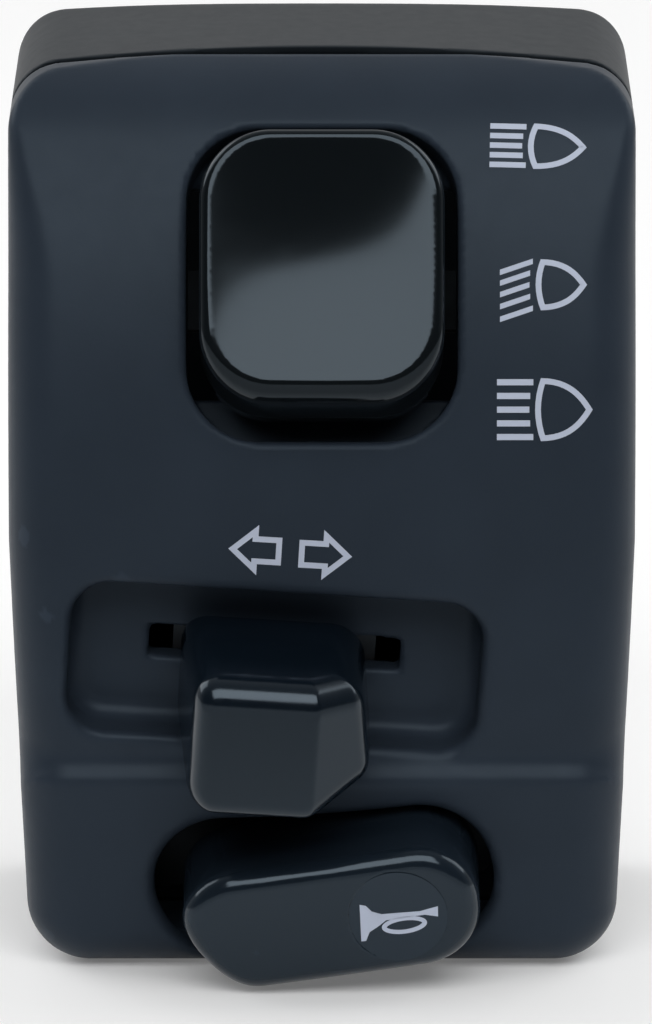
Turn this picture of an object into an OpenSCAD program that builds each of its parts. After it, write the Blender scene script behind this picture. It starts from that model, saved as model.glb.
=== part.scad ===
// Left-hand handlebar switch cluster: headlight rocker, turn-signal slide and horn button
// in a two-piece housing that clamps on the bar.
// Origin on the bar's axis at mid-width. X runs along the bar, -Y faces the rider, +Z is up.

/* [Bar clamp] */
// Diameter of the handlebar
bar_d = 22.2; // [21:0.1:26]
// Width of the space for the switches, between the bar's seats
cavity_w = 34; // [33:0.5:36]
// How far the rear shell's seat tongues stop short of the bar's axis
tongue_end = 4; // [3:0.5:6]
// Gap at each side of a seat tongue
tongue_gap = 0.15; // [0.1:0.05:0.4]

/* [Housing] */
// Width along the bar
housing_w = 46; // [44:0.5:52]
// Height of the roof over the bar
roof_h = 12.2; // [11.8:0.1:15]
// Depth of the housing below the bar
skirt_h = 33.5; // [33:0.5:38]
// Reach of the rider's face past the bar, at its fullest
face_reach = 16.9; // [16.5:0.1:19]
// How far the fullest point of the face lies below the bar's axis
bulge_drop = 11.1; // [9:0.1:12]
// Radius of the face from top to bottom
face_r = 55; // [50:1:65]
// Wall in front of the bar
front_wall_t = 4.4; // [4:0.1:7]
// Radius of the front shell's upper corner
front_r = 15.5; // [14:0.5:17]
// Lean of the front wall below the bar, in degrees
front_lean = 11; // [6:1:14]
// Wall thickness of the shells
wall = 2.2; // [1.8:0.1:2.6]
// Rounding of the long edges
edge_r = 4; // [3:0.5:5]
// Rounding of the bottom corners
corner_r = 4.6; // [3.5:0.1:6]
// How far each side draws in towards the bottom
side_draw = 1; // [0.5:0.1:1.6]
// Radius of the crowned roof
crown_r = 190; // [150:10:400]
// Distance of the parting plane from the bar, on the rider's side
parting_off = 1.9; // [1.5:0.1:2.5]
// Width of the parting groove
groove_w = 0.8; // [0.4:0.1:1.2]
// Depth of the parting groove
groove_d = 0.6; // [0.3:0.1:1]

/* [Horn pod] */
// Height of the pod's ledge above the bottom
ledge_h = 16.2; // [15.6:0.1:16.6]
// Reach of the pod's ledge past the bar
pod_reach = 14.9; // [14:0.1:16]
// Lean of the pod's face, in degrees
pod_lean = 12; // [6:1:15]
// How far the pod's sides stand in from the housing's
pod_inset = 0.5; // [0.2:0.1:1]
// Slope of the ledge, in degrees
ledge_slope = 35; // [20:1:50]

/* [Clamp screws] */
// Thread diameter of the clamp screws
clamp_screw_d = 5; // [4:0.5:5]
// Diameter of their heads
clamp_head_d = 8.4; // [7.5:0.1:9]
// Height of their heads
clamp_head_h = 3.2; // [2.5:0.1:4]
// Outer diameter of their washers
clamp_washer_d = 9; // [8.6:0.1:9.6]
// Thickness of their washers
clamp_washer_t = 0.8; // [0.5:0.1:1.2]
// Outer diameter of the threaded inserts
insert_d = 6.2; // [5.8:0.1:6.4]
// Length of the threaded inserts
insert_l = 4; // [3.8:0.1:4.6]
// Distance of the screws from the housing's sides
screw_inset = 6; // [5.8:0.1:6.5]
// Height of the upper screw below the roof
upper_screw_drop = 6.4; // [6:0.1:7]
// Depth of the lower screw below the bar
lower_screw_drop = 4.4; // [4.2:0.1:6]
// Wall of the screw bosses
boss_wall = 0.9; // [0.7:0.1:1.2]

/* [Cable entry] */
// Bore of the grommet for the cable
cable_d = 8; // [6:0.5:9]
// Wall of the grommet
grommet_wall = 1.8; // [1.5:0.1:2.5]
// Height of the grommet's lips
grommet_lip_h = 1.6; // [1.2:0.1:2.5]
// Height of the cable entry above the bottom
cable_entry_h = 11; // [10:0.5:14]

/* [Headlight rocker] */
// Distance of the rocker's middle below the roof
rocker_drop = 15; // [14.6:0.1:16]
// Width of the rocker cap
rocker_w = 17.8; // [17:0.1:19]
// Height of the rocker cap
rocker_h = 19.8; // [19.2:0.1:21]
// Corner radius of the rocker cap
rocker_corner_r = 3.4; // [2.5:0.1:4.5]
// How far the cap stands proud of the face
rocker_proud = 4.6; // [3.5:0.1:5.5]
// How far the cap's face stands up from its foot
rocker_rake = 1; // [0:0.1:1.1]
// Rounding of the cap's upper edges
rocker_edge_r = 1.7; // [1:0.1:2.2]
// Gap around the cap at its sides
rocker_side_gap = 1; // [0.7:0.1:1.3]
// Gap around the cap above and below
rocker_end_gap = 1.6; // [1.3:0.1:1.8]
// Wall of the cap
rocker_wall = 1.5; // [1.2:0.1:1.6]
// Depth of the pivot line below the face
pivot_depth = 4.5; // [4.2:0.1:5]
// Diameter of the pivot pins
pivot_pin_d = 2.5; // [2:0.1:3]
// Tilt of the rocker to either side, in degrees
rocker_tilt = 8; // [5:0.5:8]
// Diameter of the hub below the cap
hub_d = 5.4; // [5:0.1:5.6]
// Diameter of the detent plunger
plunger_d = 3; // [2.6:0.1:3.2]
// Travel of the detent plunger
plunger_travel = 0.6; // [0.4:0.05:0.7]
// Depth of the headlight base's top below the face
headlight_base_depth = 10.5; // [10.4:0.1:10.8]
// Thickness of the headlight base
headlight_base_t = 1.9; // [1.6:0.1:2.2]
// Thickness of the contact slider
slider_t = 2.5; // [2:0.1:2.8]

/* [Turn signal] */
// Height of the knob's track above the bottom
turn_h = 24.8; // [24:0.1:25.5]
// Distance of the track's middle from mid-width, to the outboard side
turn_offset = 3.5; // [3:0.1:3.8]
// Lean of the track's floor, in degrees
turn_lean = 8; // [4:1:10]
// Turn of the track, right end down, in degrees
turn_slant = 3.8; // [2:0.2:5]
// Length of the recess
recess_l = 30.3; // [29.5:0.1:31]
// Height of the recess
recess_h = 12.1; // [11.5:0.1:12.5]
// Corner radius of the recess
recess_r = 3; // [2:0.1:4]
// Depth of the recess
recess_depth = 4.4; // [4:0.1:5]
// Thickness of the recess's floor
recess_floor_t = 2; // [1.6:0.1:2.4]
// Height of the slot in the floor
slot_h = 2.6; // [2.4:0.1:3]
// Width of the knob's stem blade
blade_w = 8; // [7:0.1:8.4]
// Travel of the knob to either side
turn_travel = 5; // [4:0.1:5]
// Inward travel of the knob that cancels the signal
cancel_travel = 1.5; // [1:0.1:1.6]
// Width of the knob at its base
knob_base_w = 15; // [14:0.1:16]
// Width of the knob at its front face
knob_face_w = 13.7; // [12.5:0.1:14.4]
// Height of the knob's front face
knob_face_h = 10.8; // [10:0.1:11.4]
// How far the knob stands off the recess's floor
knob_reach = 14.6; // [13:0.1:16]
// Diameter of the knob's round stem
stem_d = 3.2; // [2.8:0.1:3.4]
// Length of the sliding carriage
carriage_l = 15; // [14.6:0.1:15.4]
// Height of the sliding carriage
carriage_h = 9; // [8.6:0.1:9.4]
// Thickness of the sliding carriage
carriage_t = 7; // [6.8:0.1:7.4]
// Thickness of the turn-signal base
turn_base_t = 2.2; // [1.8:0.1:2.6]
// Diameter of the detent ball
ball_d = 2; // [1.6:0.1:2.2]
// Travel of the detent ball
ball_travel = 0.5; // [0.35:0.05:0.55]

/* [Horn] */
// Height of the horn's middle above the bottom
horn_h = 7; // [6.8:0.1:7.6]
// Distance of the horn's middle from mid-width, to the inboard side
horn_offset = 0.6; // [0:0.1:1.5]
// Turn of the button, right end up, in degrees
horn_slant = 9; // [4:1:12]
// Width of the button
horn_w = 22.2; // [20:0.1:23]
// Height of the button
horn_face_h = 9.8; // [9.4:0.1:10.2]
// Corner radius of the button
horn_corner_r = 4.2; // [3:0.1:4.6]
// How far the button stands proud of the pod
horn_proud = 6.6; // [5.5:0.1:8]
// Gap around the button
horn_gap = 0.5; // [0.4:0.1:0.7]
// Length of the level opening round the button
horn_open_l = 24.8; // [24:0.1:25.5]
// Rounding of the button's front edge
horn_edge_r = 1.6; // [1:0.1:2]
// Travel of the button
horn_travel = 2.5; // [2:0.1:2.8]
// Diameter of the round inset in the button
inset_d = 7.4; // [6:0.1:8]
// Diameter of the button's stem
horn_stem_d = 4.4; // [4:0.1:5]
// Depth of the horn base's top below the pod's face
horn_base_depth = 7; // [6.8:0.1:8]
// Thickness of the horn base
horn_base_t = 2; // [1.6:0.1:2.4]

/* [Small parts] */
// Gap between pieces that move past each other
move_gap = 0.3; // [0.25:0.05:0.35]
// Radial running clearance of pins and stems
run_gap = 0.05; // [0.03:0.01:0.08]
// Thread diameter of the base screws
small_screw_d = 2; // [1.6:0.1:2.2]
// Length of the base screws inside their posts
screw_grip = 5; // [4:0.1:5.4]
// Length of the horn base's screws inside their posts
horn_screw_grip = 2; // [1.5:0.1:2.5]
// Rounding of the bases' corners
base_r = 1; // [0.6:0.1:1.4]
// Thickness of the contact strips
strip_t = 0.4; // [0.3:0.05:0.45]
// Diameter of the terminals
terminal_d = 1.4; // [1:0.1:1.6]
// Length of the terminals' tails behind their base
tail_l = 1.2; // [0.8:0.1:1.4]
// Diameter of the spring wire
wire_d = 0.4; // [0.3:0.05:0.45]
// Thickness of the stem clips
clip_t = 0.7; // [0.5:0.05:0.9]

/* [Hidden] */
$fn = 64;
big_fn = 240;
hull_fn = 32;
far = 120;
eps = 0.01;
side_over = 0.3;
spring_strokes = 11;
spring_play = 0.05;

// Housing
bar_r = bar_d / 2;
half_w = housing_w / 2;
seat_w = (housing_w - cavity_w) / 2;
top_z = bar_r + roof_h;
bottom_z = -bar_r - skirt_h;
face_y = -bar_r - face_reach;
bulge_z = -bulge_drop;
drum_y = face_y + face_r;
parting_y = -bar_r - parting_off;
front_y = bar_r + front_wall_t;
front_cy = front_y - front_r;
front_cz = top_z + side_over - front_r;
ledge_z = bottom_z + ledge_h;
pod_y = -bar_r - pod_reach;
roof_edge_cz = top_z - edge_r;
roof_edge_cy = drum_y - sqrt(pow(face_r - edge_r, 2) - pow(roof_edge_cz - bulge_z, 2));
roof_edge_turn = atan2(roof_edge_cz - bulge_z, drum_y - roof_edge_cy);
pod_edge_cz = bottom_z + edge_r;
pod_edge_cy = pod_y + edge_r / cos(pod_lean) + (ledge_z - pod_edge_cz) * tan(pod_lean);
front_edge_cz = bottom_z + edge_r;
front_edge_cy = front_cy + (front_r - edge_r) / cos(front_lean)
    - (front_cz - front_edge_cz) * tan(front_lean);

// Clamp screws, as [x, z, y of the head's seat]
upper_screw_z = top_z - upper_screw_drop;
lower_screw_z = -bar_r - lower_screw_drop;
clamp_screw_x = half_w - screw_inset;
clamp_seat_y = 5;
clamp_places = [[-clamp_screw_x, upper_screw_z], [clamp_screw_x, lower_screw_z]];
clamp_boss_r = insert_d / 2 + boss_wall;
head_boss_r = clamp_washer_d / 2 + move_gap + boss_wall;
screw_tip_y = parting_y - insert_l + 0.4;

// Headlight rocker: depths are below the face, along its normal
rocker_z = top_z - rocker_drop;
rocker_lean = asin((rocker_z - bulge_z) / face_r);
rocker_y = drum_y - face_r * cos(rocker_lean);
rocker_open_w = rocker_w + 2 * rocker_side_gap;
rocker_open_h = rocker_h + 2 * rocker_end_gap;
rocker_open_r = rocker_corner_r + rocker_side_gap;
rocker_skirt_z = -3;
rocker_top_t = 2;
cheek_x1 = rocker_w / 2 - rocker_wall - move_gap;
cheek_t = 1.5;
cheek_x0 = cheek_x1 - cheek_t;
cheek_half_h = 3.2;
ear_half_h = 3.4;
ear_z = -pivot_depth - pivot_pin_d / 2 - 0.9;
headlight_base_z = -headlight_base_depth;
slider_z = headlight_base_z + strip_t + 0.4;
hub_end_z = slider_z + 0.7;
plunger_tip_z = headlight_base_z + 0.4;
plunger_l = 3.4;
plunger_bore_top = plunger_tip_z + plunger_l + spring_strokes * plunger_travel;
slider_half_w = cheek_x0 - move_gap;
slider_half_h = 5.5;
slider_window_gap = 0.5;
strip_w = 1.3;
headlight_strip_x = slider_half_w - strip_w / 2 - 0.2;
headlight_base_half_h = 7.6;
headlight_terminal_y = 3;
post_r = small_screw_d / 2 + 0.9;
headlight_post_x = rocker_open_w / 2 + post_r + 0.3;
pilot_r = small_screw_d / 2 - 0.2;
base_ear_h = small_screw_d + 2.4;

// Turn signal: heights are above the outer side of the recess's floor
turn_z = bottom_z + turn_h;
turn_face_y = drum_y - sqrt(face_r * face_r - pow(turn_z - bulge_z, 2));
turn_floor_y = turn_face_y + recess_depth;
slot_l = blade_w + 2 * turn_travel + 2 * move_gap;
blade_t = slot_h - 2 * move_gap + 0.2;
knob_under = cancel_travel + move_gap;
knob_top_y = recess_h / 2 - 2.9;
knob_base_y = -recess_h / 2 + 1.9;
carriage_top = -recess_floor_t - move_gap;
carriage_bottom = carriage_top - carriage_t;
blade_end = carriage_top - 0.4;
blade_pocket_z = blade_end - cancel_travel - move_gap;
cancel_spring_r = stem_d / 2 + wire_d + 0.2;
cancel_bore_r = cancel_spring_r + wire_d / 2 + move_gap;
cancel_floor_z = carriage_bottom + 1.9;
turn_base_z = carriage_bottom - strip_t - 0.2;
turn_clip_r = stem_d / 2 + 1;
turn_clip_z = carriage_bottom - 0.1;
stem_end = turn_clip_z - clip_t - 0.8;
rail_y0 = carriage_h / 2 + move_gap;
rail_t = 1.1;
rail_h = 5.4;
turn_base_half_h = rail_y0 + rail_t + 0.3;
stop_x = carriage_l / 2 + turn_travel + 0.25;
stop_t = 0.8;
turn_post_r = small_screw_d / 2 + 0.6;
turn_post_x = stop_x - 2 * turn_post_r;
turn_post_y = turn_base_half_h + turn_post_r + 0.1;
turn_post_places = [[turn_post_x, turn_post_y], [-turn_post_x, -turn_post_y]];
turn_slot_half_l = turn_travel + turn_clip_r + move_gap;
turn_slot_half_h = turn_clip_r + move_gap;
turn_strip_y = turn_slot_half_h + 0.2 + strip_w / 2;
turn_terminal_places = [for (i = [-1 : 1]) [i * turn_travel, turn_strip_y], [0, -turn_strip_y]];
ball_x = blade_w / 2 + move_gap + ball_d / 2 + 0.3;
ball_z = carriage_top - ball_d / 2 - 0.8;
ball_y = carriage_h / 2 + 0.15 - ball_d / 2;
ball_bore_end = ball_y - ball_d / 2 - spring_strokes * ball_travel;
centring_r = 1.1;
centring_z = carriage_bottom + centring_r + wire_d / 2 + 0.7;
centring_x0 = cancel_bore_r + 0.9;

// Horn: heights are above the pod's face
horn_z = bottom_z + horn_h;
horn_y = pod_y + (ledge_z - horn_z) * tan(pod_lean);
horn_under = -horn_travel + 0.3;
horn_base_z = -horn_base_depth;
horn_spring_r = horn_stem_d / 2 + wire_d + 0.2;
horn_clip_r = horn_stem_d / 2 + 1;
horn_clip_z = horn_base_z - horn_base_t - 0.1;
horn_stem_end = horn_clip_z - clip_t - 0.8;
horn_open_w = horn_w + 2 * horn_gap;
horn_open_h = horn_face_h + 2 * horn_gap;
horn_post_x = horn_open_l / 2 + horn_offset + post_r + 0.3;
horn_base_half_w = horn_post_x + small_screw_d / 2 + 0.8;
horn_base_half_h = 4.6;
horn_contact_x = 5.4;
horn_leg_z = horn_base_z + horn_travel + 0.15;
inset_t = 1;
horn_inset_x = 5;

// Cable entry, on the sloping front wall
entry_z = bottom_z + cable_entry_h;
entry_y = front_cy + front_r / cos(front_lean) - (front_cz - entry_z) * tan(front_lean);
grommet_r = cable_d / 2 + grommet_wall;
grommet_lip_r = grommet_r + 1.4;

// A rectangle with round corners, about its middle
module rounded_rect(w, h, r) {
    square([w - 2 * r, h], center = true);
    square([w, h - 2 * r], center = true);
    for (sx = [-1, 1], sy = [-1, 1])
        translate([sx * (w / 2 - r), sy * (h / 2 - r)]) circle(r);
}

// A slab with round corners from z0 to z1
module rounded_slab(w, h, r, z0, z1) {
    translate([0, 0, z0]) linear_extrude(z1 - z0) rounded_rect(w, h, r);
}

// Half section of a drum with rounded rims
module drum_section(r, half_width, rim_r) {
    translate([0, -half_width]) square([r - rim_r, 2 * half_width]);
    translate([0, rim_r - half_width]) square([r, 2 * (half_width - rim_r)]);
    for (s = [-1, 1]) translate([r - rim_r, s * (half_width - rim_r)]) circle(rim_r);
}

// A drum with its axis along the bar
module drum(y, z, r, half_width, rim_r) {
    translate([0, y, z]) rotate([0, 90, 0])
        rotate_extrude($fn = big_fn) drum_section(r, half_width, rim_r);
}

// A side profile in Y and Z, extruded across the whole width
module across() {
    rotate([90, 0, 90]) translate([0, 0, -far / 2]) linear_extrude(far) children();
}

// What a rounded edge takes off the corner between two directions about its centre
module edge_cut(y, z, r, turn0, turn1) {
    across() difference() {
        polygon([for (p = [[0, 0], [turn0, far / 4], [(turn0 + turn1) / 2, far / 2], [turn1, far / 4]])
            [y + p[1] * cos(p[0]), z + p[1] * sin(p[0])]]);
        translate([y, z]) circle(r, $fn = 128);
    }
}

// Places on the housing: local Z points out of the face and local Y up it
module on_face(x, y, z, lean, slant = 0) {
    translate([x, y, z]) rotate([90 - lean, 0, 0]) rotate([0, 0, slant]) children();
}
module on_rocker() { on_face(0, rocker_y, rocker_z, rocker_lean) children(); }
module on_turn() { on_face(-turn_offset, turn_floor_y, turn_z, -turn_lean, -turn_slant) children(); }
module on_horn() { on_face(horn_offset, horn_y, horn_z, -pod_lean, horn_slant) children(); }
module on_entry() { translate([0, entry_y, entry_z]) rotate([-90 - front_lean, 0, 0]) children(); }
module at_clamp(place) { translate([place[0], 0, place[1]]) rotate([-90, 0, 0]) children(); }

// The rounded bar that makes the pod under the ledge
module horn_pod(t) {
    ledge_back = 40;
    intersection() {
        translate([0, pod_y, ledge_z]) rotate([pod_lean, 0, 0])
            translate([0, t + ledge_back / 2, -far / 2]) linear_extrude(far)
                rounded_rect(2 * (half_w - pod_inset - t), ledge_back, edge_r - t);
        across() polygon([
            [pod_y - far, ledge_z - t - far * tan(ledge_slope)],
            [pod_y + ledge_back, ledge_z - t + ledge_back * tan(ledge_slope)],
            [pod_y + ledge_back, -far], [pod_y - far, -far]]);
    }
}

// The rounded slab of the front wall below the bar
module front_slab(t) {
    slab_l = 60;
    translate([0, front_cy, front_cz]) rotate([-front_lean, 0, 0])
        translate([0, front_r - t - slab_l / 2, -far]) linear_extrude(far)
            rounded_rect(2 * (half_w + side_over - t), slab_l, edge_r - t);
}

// Points on an arc from turn0 to turn1 about a centre
function arc(x, y, r, turn0, turn1, steps) = [for (i = [0 : steps])
    let (a = turn0 + (turn1 - turn0) * i / steps) [x + r * cos(a), y + r * sin(a)]];

// Right half of the outline seen by the rider, from the bottom up to the crowned roof
function outline_half(t) = let (
    w = half_w - t,
    low_w = w - side_draw,
    low_r = corner_r - t,
    high_r = edge_r - t,
    crown_turn = asin((w - high_r) / crown_r),
    high_z = top_z - t - crown_r * (1 - cos(crown_turn)) - high_r * cos(crown_turn)
) concat(
    arc(low_w - low_r, bottom_z + corner_r, low_r, -90, 0, 8),
    [[w, bulge_z]],
    arc(w - high_r, high_z, high_r, 0, 90 - crown_turn, 8),
    arc(0, top_z - t - crown_r, crown_r, 90 - crown_turn * 0.75, 90 - crown_turn * 0.25, 2));

// Outline seen by the rider
module front_outline(t) {
    right = outline_half(t);
    polygon(concat(right, [for (i = [len(right) - 1 : -1 : 0]) [-right[i][0], right[i][1]]]));
}

// The whole housing, drawn in by t
module housing(t) {
    difference() {
        intersection() {
            union() {
                drum(drum_y, bulge_z, face_r - t, half_w + side_over - t, edge_r - t);
                horn_pod(t);
            }
            union() {
                translate([-far / 2, front_cy - far, front_cz]) cube([far, far, front_r - t]);
                drum(front_cy, front_cz, front_r - t, half_w + side_over - t, edge_r - t);
                front_slab(t);
            }
            translate([0, far / 2, 0]) rotate([90, 0, 0]) linear_extrude(far) front_outline(t);
        }
        edge_cut(roof_edge_cy, roof_edge_cz, edge_r - t, 180 - roof_edge_turn, 90);
        edge_cut(pod_edge_cy, pod_edge_cz, edge_r - t, 180 + pod_lean, 270);
        edge_cut(front_edge_cy, front_edge_cz, edge_r - t, -front_lean, -90);
    }
}

// Everything on the rider's side of a plane across the bar
module rear_of(y) {
    translate([-far / 2, y - far, -far / 2]) cube([far, far, far]);
}

// The bar's path with its open side towards the rider
module bar_slot(gap) {
    rotate([0, 90, 0]) cylinder(r = bar_r, h = far, center = true, $fn = 128);
    translate([-far / 2, -far, -bar_r + gap]) cube([far, far, 2 * (bar_r - gap)]);
}

// Both ends of the housing, where the bar is held
module seat_ends(y0, y1, half_h) {
    for (s = [-1, 1]) translate([s > 0 ? half_w - seat_w : -far, y0, -half_h])
        cube([far - (s > 0 ? 0 : half_w - seat_w), y1 - y0, 2 * half_h]);
}

module rear_shell() {
    tub_t = 1.8;
    tongue_half_h = bar_r - tongue_gap;
    color([0.17, 0.19, 0.23]) difference() {
        union() {
            difference() {
                intersection() { housing(0); rear_of(parting_y); }
                housing(wall);
            }
            intersection() {
                housing(0);
                union() {
                    seat_ends(face_y, -tongue_end, tongue_half_h);
                    intersection() {
                        rear_of(parting_y);
                        union() {
                            for (p = clamp_places) at_clamp(p) translate([0, 0, -far / 2])
                                cylinder(r = clamp_boss_r, h = far / 2);
                            on_rocker() for (s = [-1, 1])
                                translate([s * headlight_post_x, 0, headlight_base_z])
                                    cylinder(r = post_r, h = headlight_base_depth);
                            on_turn() rounded_slab(recess_l + 2 * tub_t, recess_h + 2 * tub_t,
                                recess_r + tub_t, -recess_floor_t, recess_depth);
                            on_turn() for (p = turn_post_places) translate([p[0], p[1], turn_base_z])
                                cylinder(r = turn_post_r, h = -turn_base_z - recess_floor_t / 4);
                            on_horn() for (s = [-1, 1]) translate([s * horn_post_x, 0, horn_base_z])
                                cylinder(r = post_r, h = horn_base_depth);
                        }
                    }
                }
            }
        }
        rotate([0, 90, 0]) cylinder(r = bar_r, h = far, center = true, $fn = 128);
        for (p = clamp_places) at_clamp(p) translate([0, 0, parting_y - insert_l - move_gap])
            cylinder(r = insert_d / 2, h = insert_l + move_gap + eps);
        on_rocker() {
            rounded_slab(rocker_open_w, rocker_open_h, rocker_open_r, -2 * wall - 1, far / 4);
            for (s = [-1, 1]) translate([s * headlight_post_x, 0, headlight_base_z - eps])
                cylinder(r = pilot_r, h = headlight_base_depth - wall);
        }
        on_turn() {
            rounded_slab(recess_l, recess_h, recess_r, 0, far / 4);
            rounded_slab(slot_l, slot_h, 0.4, -recess_floor_t - 1, 1);
            for (p = turn_post_places) translate([p[0], p[1], turn_base_z - eps])
                cylinder(r = pilot_r, h = screw_grip + 0.6);
        }
        on_horn() {
            rounded_slab(horn_open_w, horn_open_h, horn_corner_r + horn_gap,
                horn_under - horn_travel - move_gap, far / 4);
            rotate([0, 0, -horn_slant]) translate([-horn_offset, 0, 0])
                rounded_slab(horn_open_l, horn_open_h, horn_open_h / 2 - 0.2, -2 * wall, far / 4);
            for (s = [-1, 1]) translate([s * horn_post_x, 0, horn_base_z - eps])
                cylinder(r = pilot_r, h = horn_base_depth - wall);
        }
    }
}

module front_shell() {
    color([0.27, 0.28, 0.3]) difference() {
        union() {
            difference() {
                union() {
                    difference() { housing(0); rear_of(parting_y + groove_w); }
                    difference() { housing(groove_d); rear_of(parting_y); }
                }
                housing(wall);
            }
            difference() {
                intersection() {
                    housing(groove_d);
                    union() {
                        seat_ends(parting_y, front_y, bar_r + wall);
                        for (p = clamp_places) at_clamp(p) {
                            translate([0, 0, parting_y]) cylinder(r = clamp_boss_r, h = far / 2);
                            translate([0, 0, clamp_seat_y - wall]) cylinder(r = head_boss_r, h = far / 2);
                        }
                    }
                }
                rear_of(parting_y);
            }
        }
        bar_slot(0);
        for (p = clamp_places) at_clamp(p) {
            translate([0, 0, parting_y - 1]) cylinder(r = clamp_screw_d / 2 + 0.2, h = far / 2);
            translate([0, 0, clamp_seat_y]) cylinder(r = clamp_washer_d / 2 + move_gap, h = far / 2);
        }
        on_entry() cylinder(r = grommet_r, h = far / 4, center = true);
    }
}

module clamp_screws() {
    color([0.62, 0.63, 0.65]) for (p = clamp_places) at_clamp(p) difference() {
        union() {
            translate([0, 0, screw_tip_y])
                cylinder(d = clamp_screw_d, h = clamp_seat_y + clamp_washer_t - screw_tip_y);
            translate([0, 0, clamp_seat_y + clamp_washer_t])
                cylinder(d = clamp_head_d, h = clamp_head_h);
        }
        translate([0, 0, clamp_seat_y + clamp_washer_t + clamp_head_h / 2])
            cylinder(d = clamp_head_d / 2, h = clamp_head_h, $fn = 6);
    }
}

module clamp_washers() {
    color([0.7, 0.71, 0.72]) for (p = clamp_places) at_clamp(p) translate([0, 0, clamp_seat_y])
        difference() {
            cylinder(d = clamp_washer_d, h = clamp_washer_t);
            translate([0, 0, -1]) cylinder(r = clamp_screw_d / 2 + run_gap, h = clamp_washer_t + 2);
        }
}

module threaded_inserts() {
    color([0.78, 0.62, 0.28]) for (p = clamp_places) at_clamp(p) translate([0, 0, parting_y - insert_l])
        difference() {
            cylinder(d = insert_d, h = insert_l);
            translate([0, 0, -1]) cylinder(r = clamp_screw_d / 2 + run_gap, h = insert_l + 2);
        }
}

module cable_grommet() {
    lip_z0 = -wall - grommet_lip_h;
    color([0.09, 0.09, 0.1]) on_entry() difference() {
        union() {
            translate([0, 0, lip_z0]) cylinder(r = grommet_r, h = wall + 2 * grommet_lip_h);
            translate([0, 0, lip_z0]) cylinder(r = grommet_lip_r, h = grommet_lip_h);
            cylinder(r1 = grommet_lip_r, r2 = grommet_r + 0.5, h = grommet_lip_h);
        }
        translate([0, 0, lip_z0 - 1]) cylinder(d = cable_d, h = far / 4);
    }
}

// A helical spring along Z from z0 to z1, about a circle of radius r
module coil(r, z0, z1, turns) {
    sides = 6;
    steps = 12 * turns;
    wr = wire_d / 2;
    points = [for (i = [0 : steps], j = [0 : sides - 1])
        let (a = 360 * turns * i / steps, b = 360 * j / sides, rr = r + wr * cos(b))
        [rr * cos(a), rr * sin(a), z0 + wr + (z1 - z0 - wire_d) * i / steps + wr * sin(b)]];
    walls = [for (i = [0 : steps - 1], j = [0 : sides - 1], half = [0, 1])
        let (a = i * sides + j, b = i * sides + (j + 1) % sides)
        half == 0 ? [a, b, b + sides] : [a, b + sides, a + sides]];
    ends = [[for (j = [sides - 1 : -1 : 0]) j], [for (j = [0 : sides - 1]) steps * sides + j]];
    polyhedron(points, concat(walls, ends), convexity = 10);
}

// A pan-head screw along Z: its head's seat at z, its thread running up by l
module small_screw(z, l) {
    head_h = 1.1;
    difference() {
        union() {
            translate([0, 0, z]) cylinder(r = pilot_r, h = l);
            translate([0, 0, z - head_h]) cylinder(d = 1.8 * small_screw_d, h = head_h);
        }
        for (turn = [0, 90]) translate([0, 0, z - head_h]) rotate([0, 0, turn])
            cube([1.2 * small_screw_d, 0.5, head_h], center = true);
    }
}

// A terminal rivet through a base: head on top at z, tail below
module terminal(z, base_t) {
    head_rise = 0.05;
    translate([0, 0, z - base_t - tail_l]) cylinder(d = terminal_d, h = base_t + tail_l + head_rise);
}

// A spring clip round a stem, open to one side
module stem_clip(stem_r, clip_r, z) {
    translate([0, 0, z - clip_t]) linear_extrude(clip_t) difference() {
        circle(clip_r);
        circle(stem_r);
        translate([0, -stem_r * 0.7]) square([clip_r + 1, 1.4 * stem_r]);
    }
}

module rocker_cap() {
    top = rocker_proud;
    hub_r = hub_d / 2;
    inner_w = rocker_w - 2 * rocker_wall;
    inner_h = rocker_h - 2 * rocker_wall;
    color([0.08, 0.09, 0.1]) on_rocker() difference() {
        union() {
            difference() {
                hull() for (s = [[0, rocker_skirt_z, eps], [0, 1, top - rocker_edge_r - 1],
                        [0.3 * rocker_edge_r, top - rocker_edge_r, 0.6 * rocker_edge_r],
                        [rocker_edge_r, top - eps, eps]])
                    translate([0, rocker_rake * max(0, s[1]) / top, 0])
                        rounded_slab(rocker_w - 2 * s[0], rocker_h - 2 * s[0], rocker_corner_r - s[0] / 2,
                            s[1], s[1] + s[2], $fn = hull_fn);
                rounded_slab(inner_w, inner_h, rocker_corner_r - rocker_wall / 2,
                    rocker_skirt_z - 1, top - rocker_top_t);
            }
            for (s = [-1, 1])
                translate([s * (rocker_w - rocker_wall) / 2, 0, (ear_z + top - rocker_top_t) / 2])
                    cube([rocker_wall, 2 * ear_half_h, top - rocker_top_t - ear_z], center = true);
            translate([0, 0, hub_end_z]) cylinder(r = hub_r, h = top - rocker_top_t - hub_end_z + eps);
        }
        translate([0, 0, -pivot_depth]) rotate([0, 90, 0])
            cylinder(r = pivot_pin_d / 2 + run_gap, h = far, center = true);
        translate([0, 0, hub_end_z - 1])
            cylinder(r = plunger_d / 2 + run_gap, h = plunger_bore_top - hub_end_z + 1);
    }
}

module rocker_pivot_pins() {
    color([0.7, 0.71, 0.73]) on_rocker() for (s = [-1, 1])
        translate([s > 0 ? cheek_x0 : -rocker_w / 2 + 0.2, 0, -pivot_depth]) rotate([0, 90, 0])
            cylinder(d = pivot_pin_d, h = rocker_w / 2 - 0.2 - cheek_x0);
}

module rocker_detent_plunger() {
    nose_r = plunger_d / 2;
    color([0.72, 0.58, 0.3]) on_rocker() {
        translate([0, 0, plunger_tip_z + nose_r]) cylinder(r = nose_r, h = plunger_l - nose_r);
        translate([0, 0, plunger_tip_z + nose_r]) sphere(nose_r);
    }
}

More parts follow.
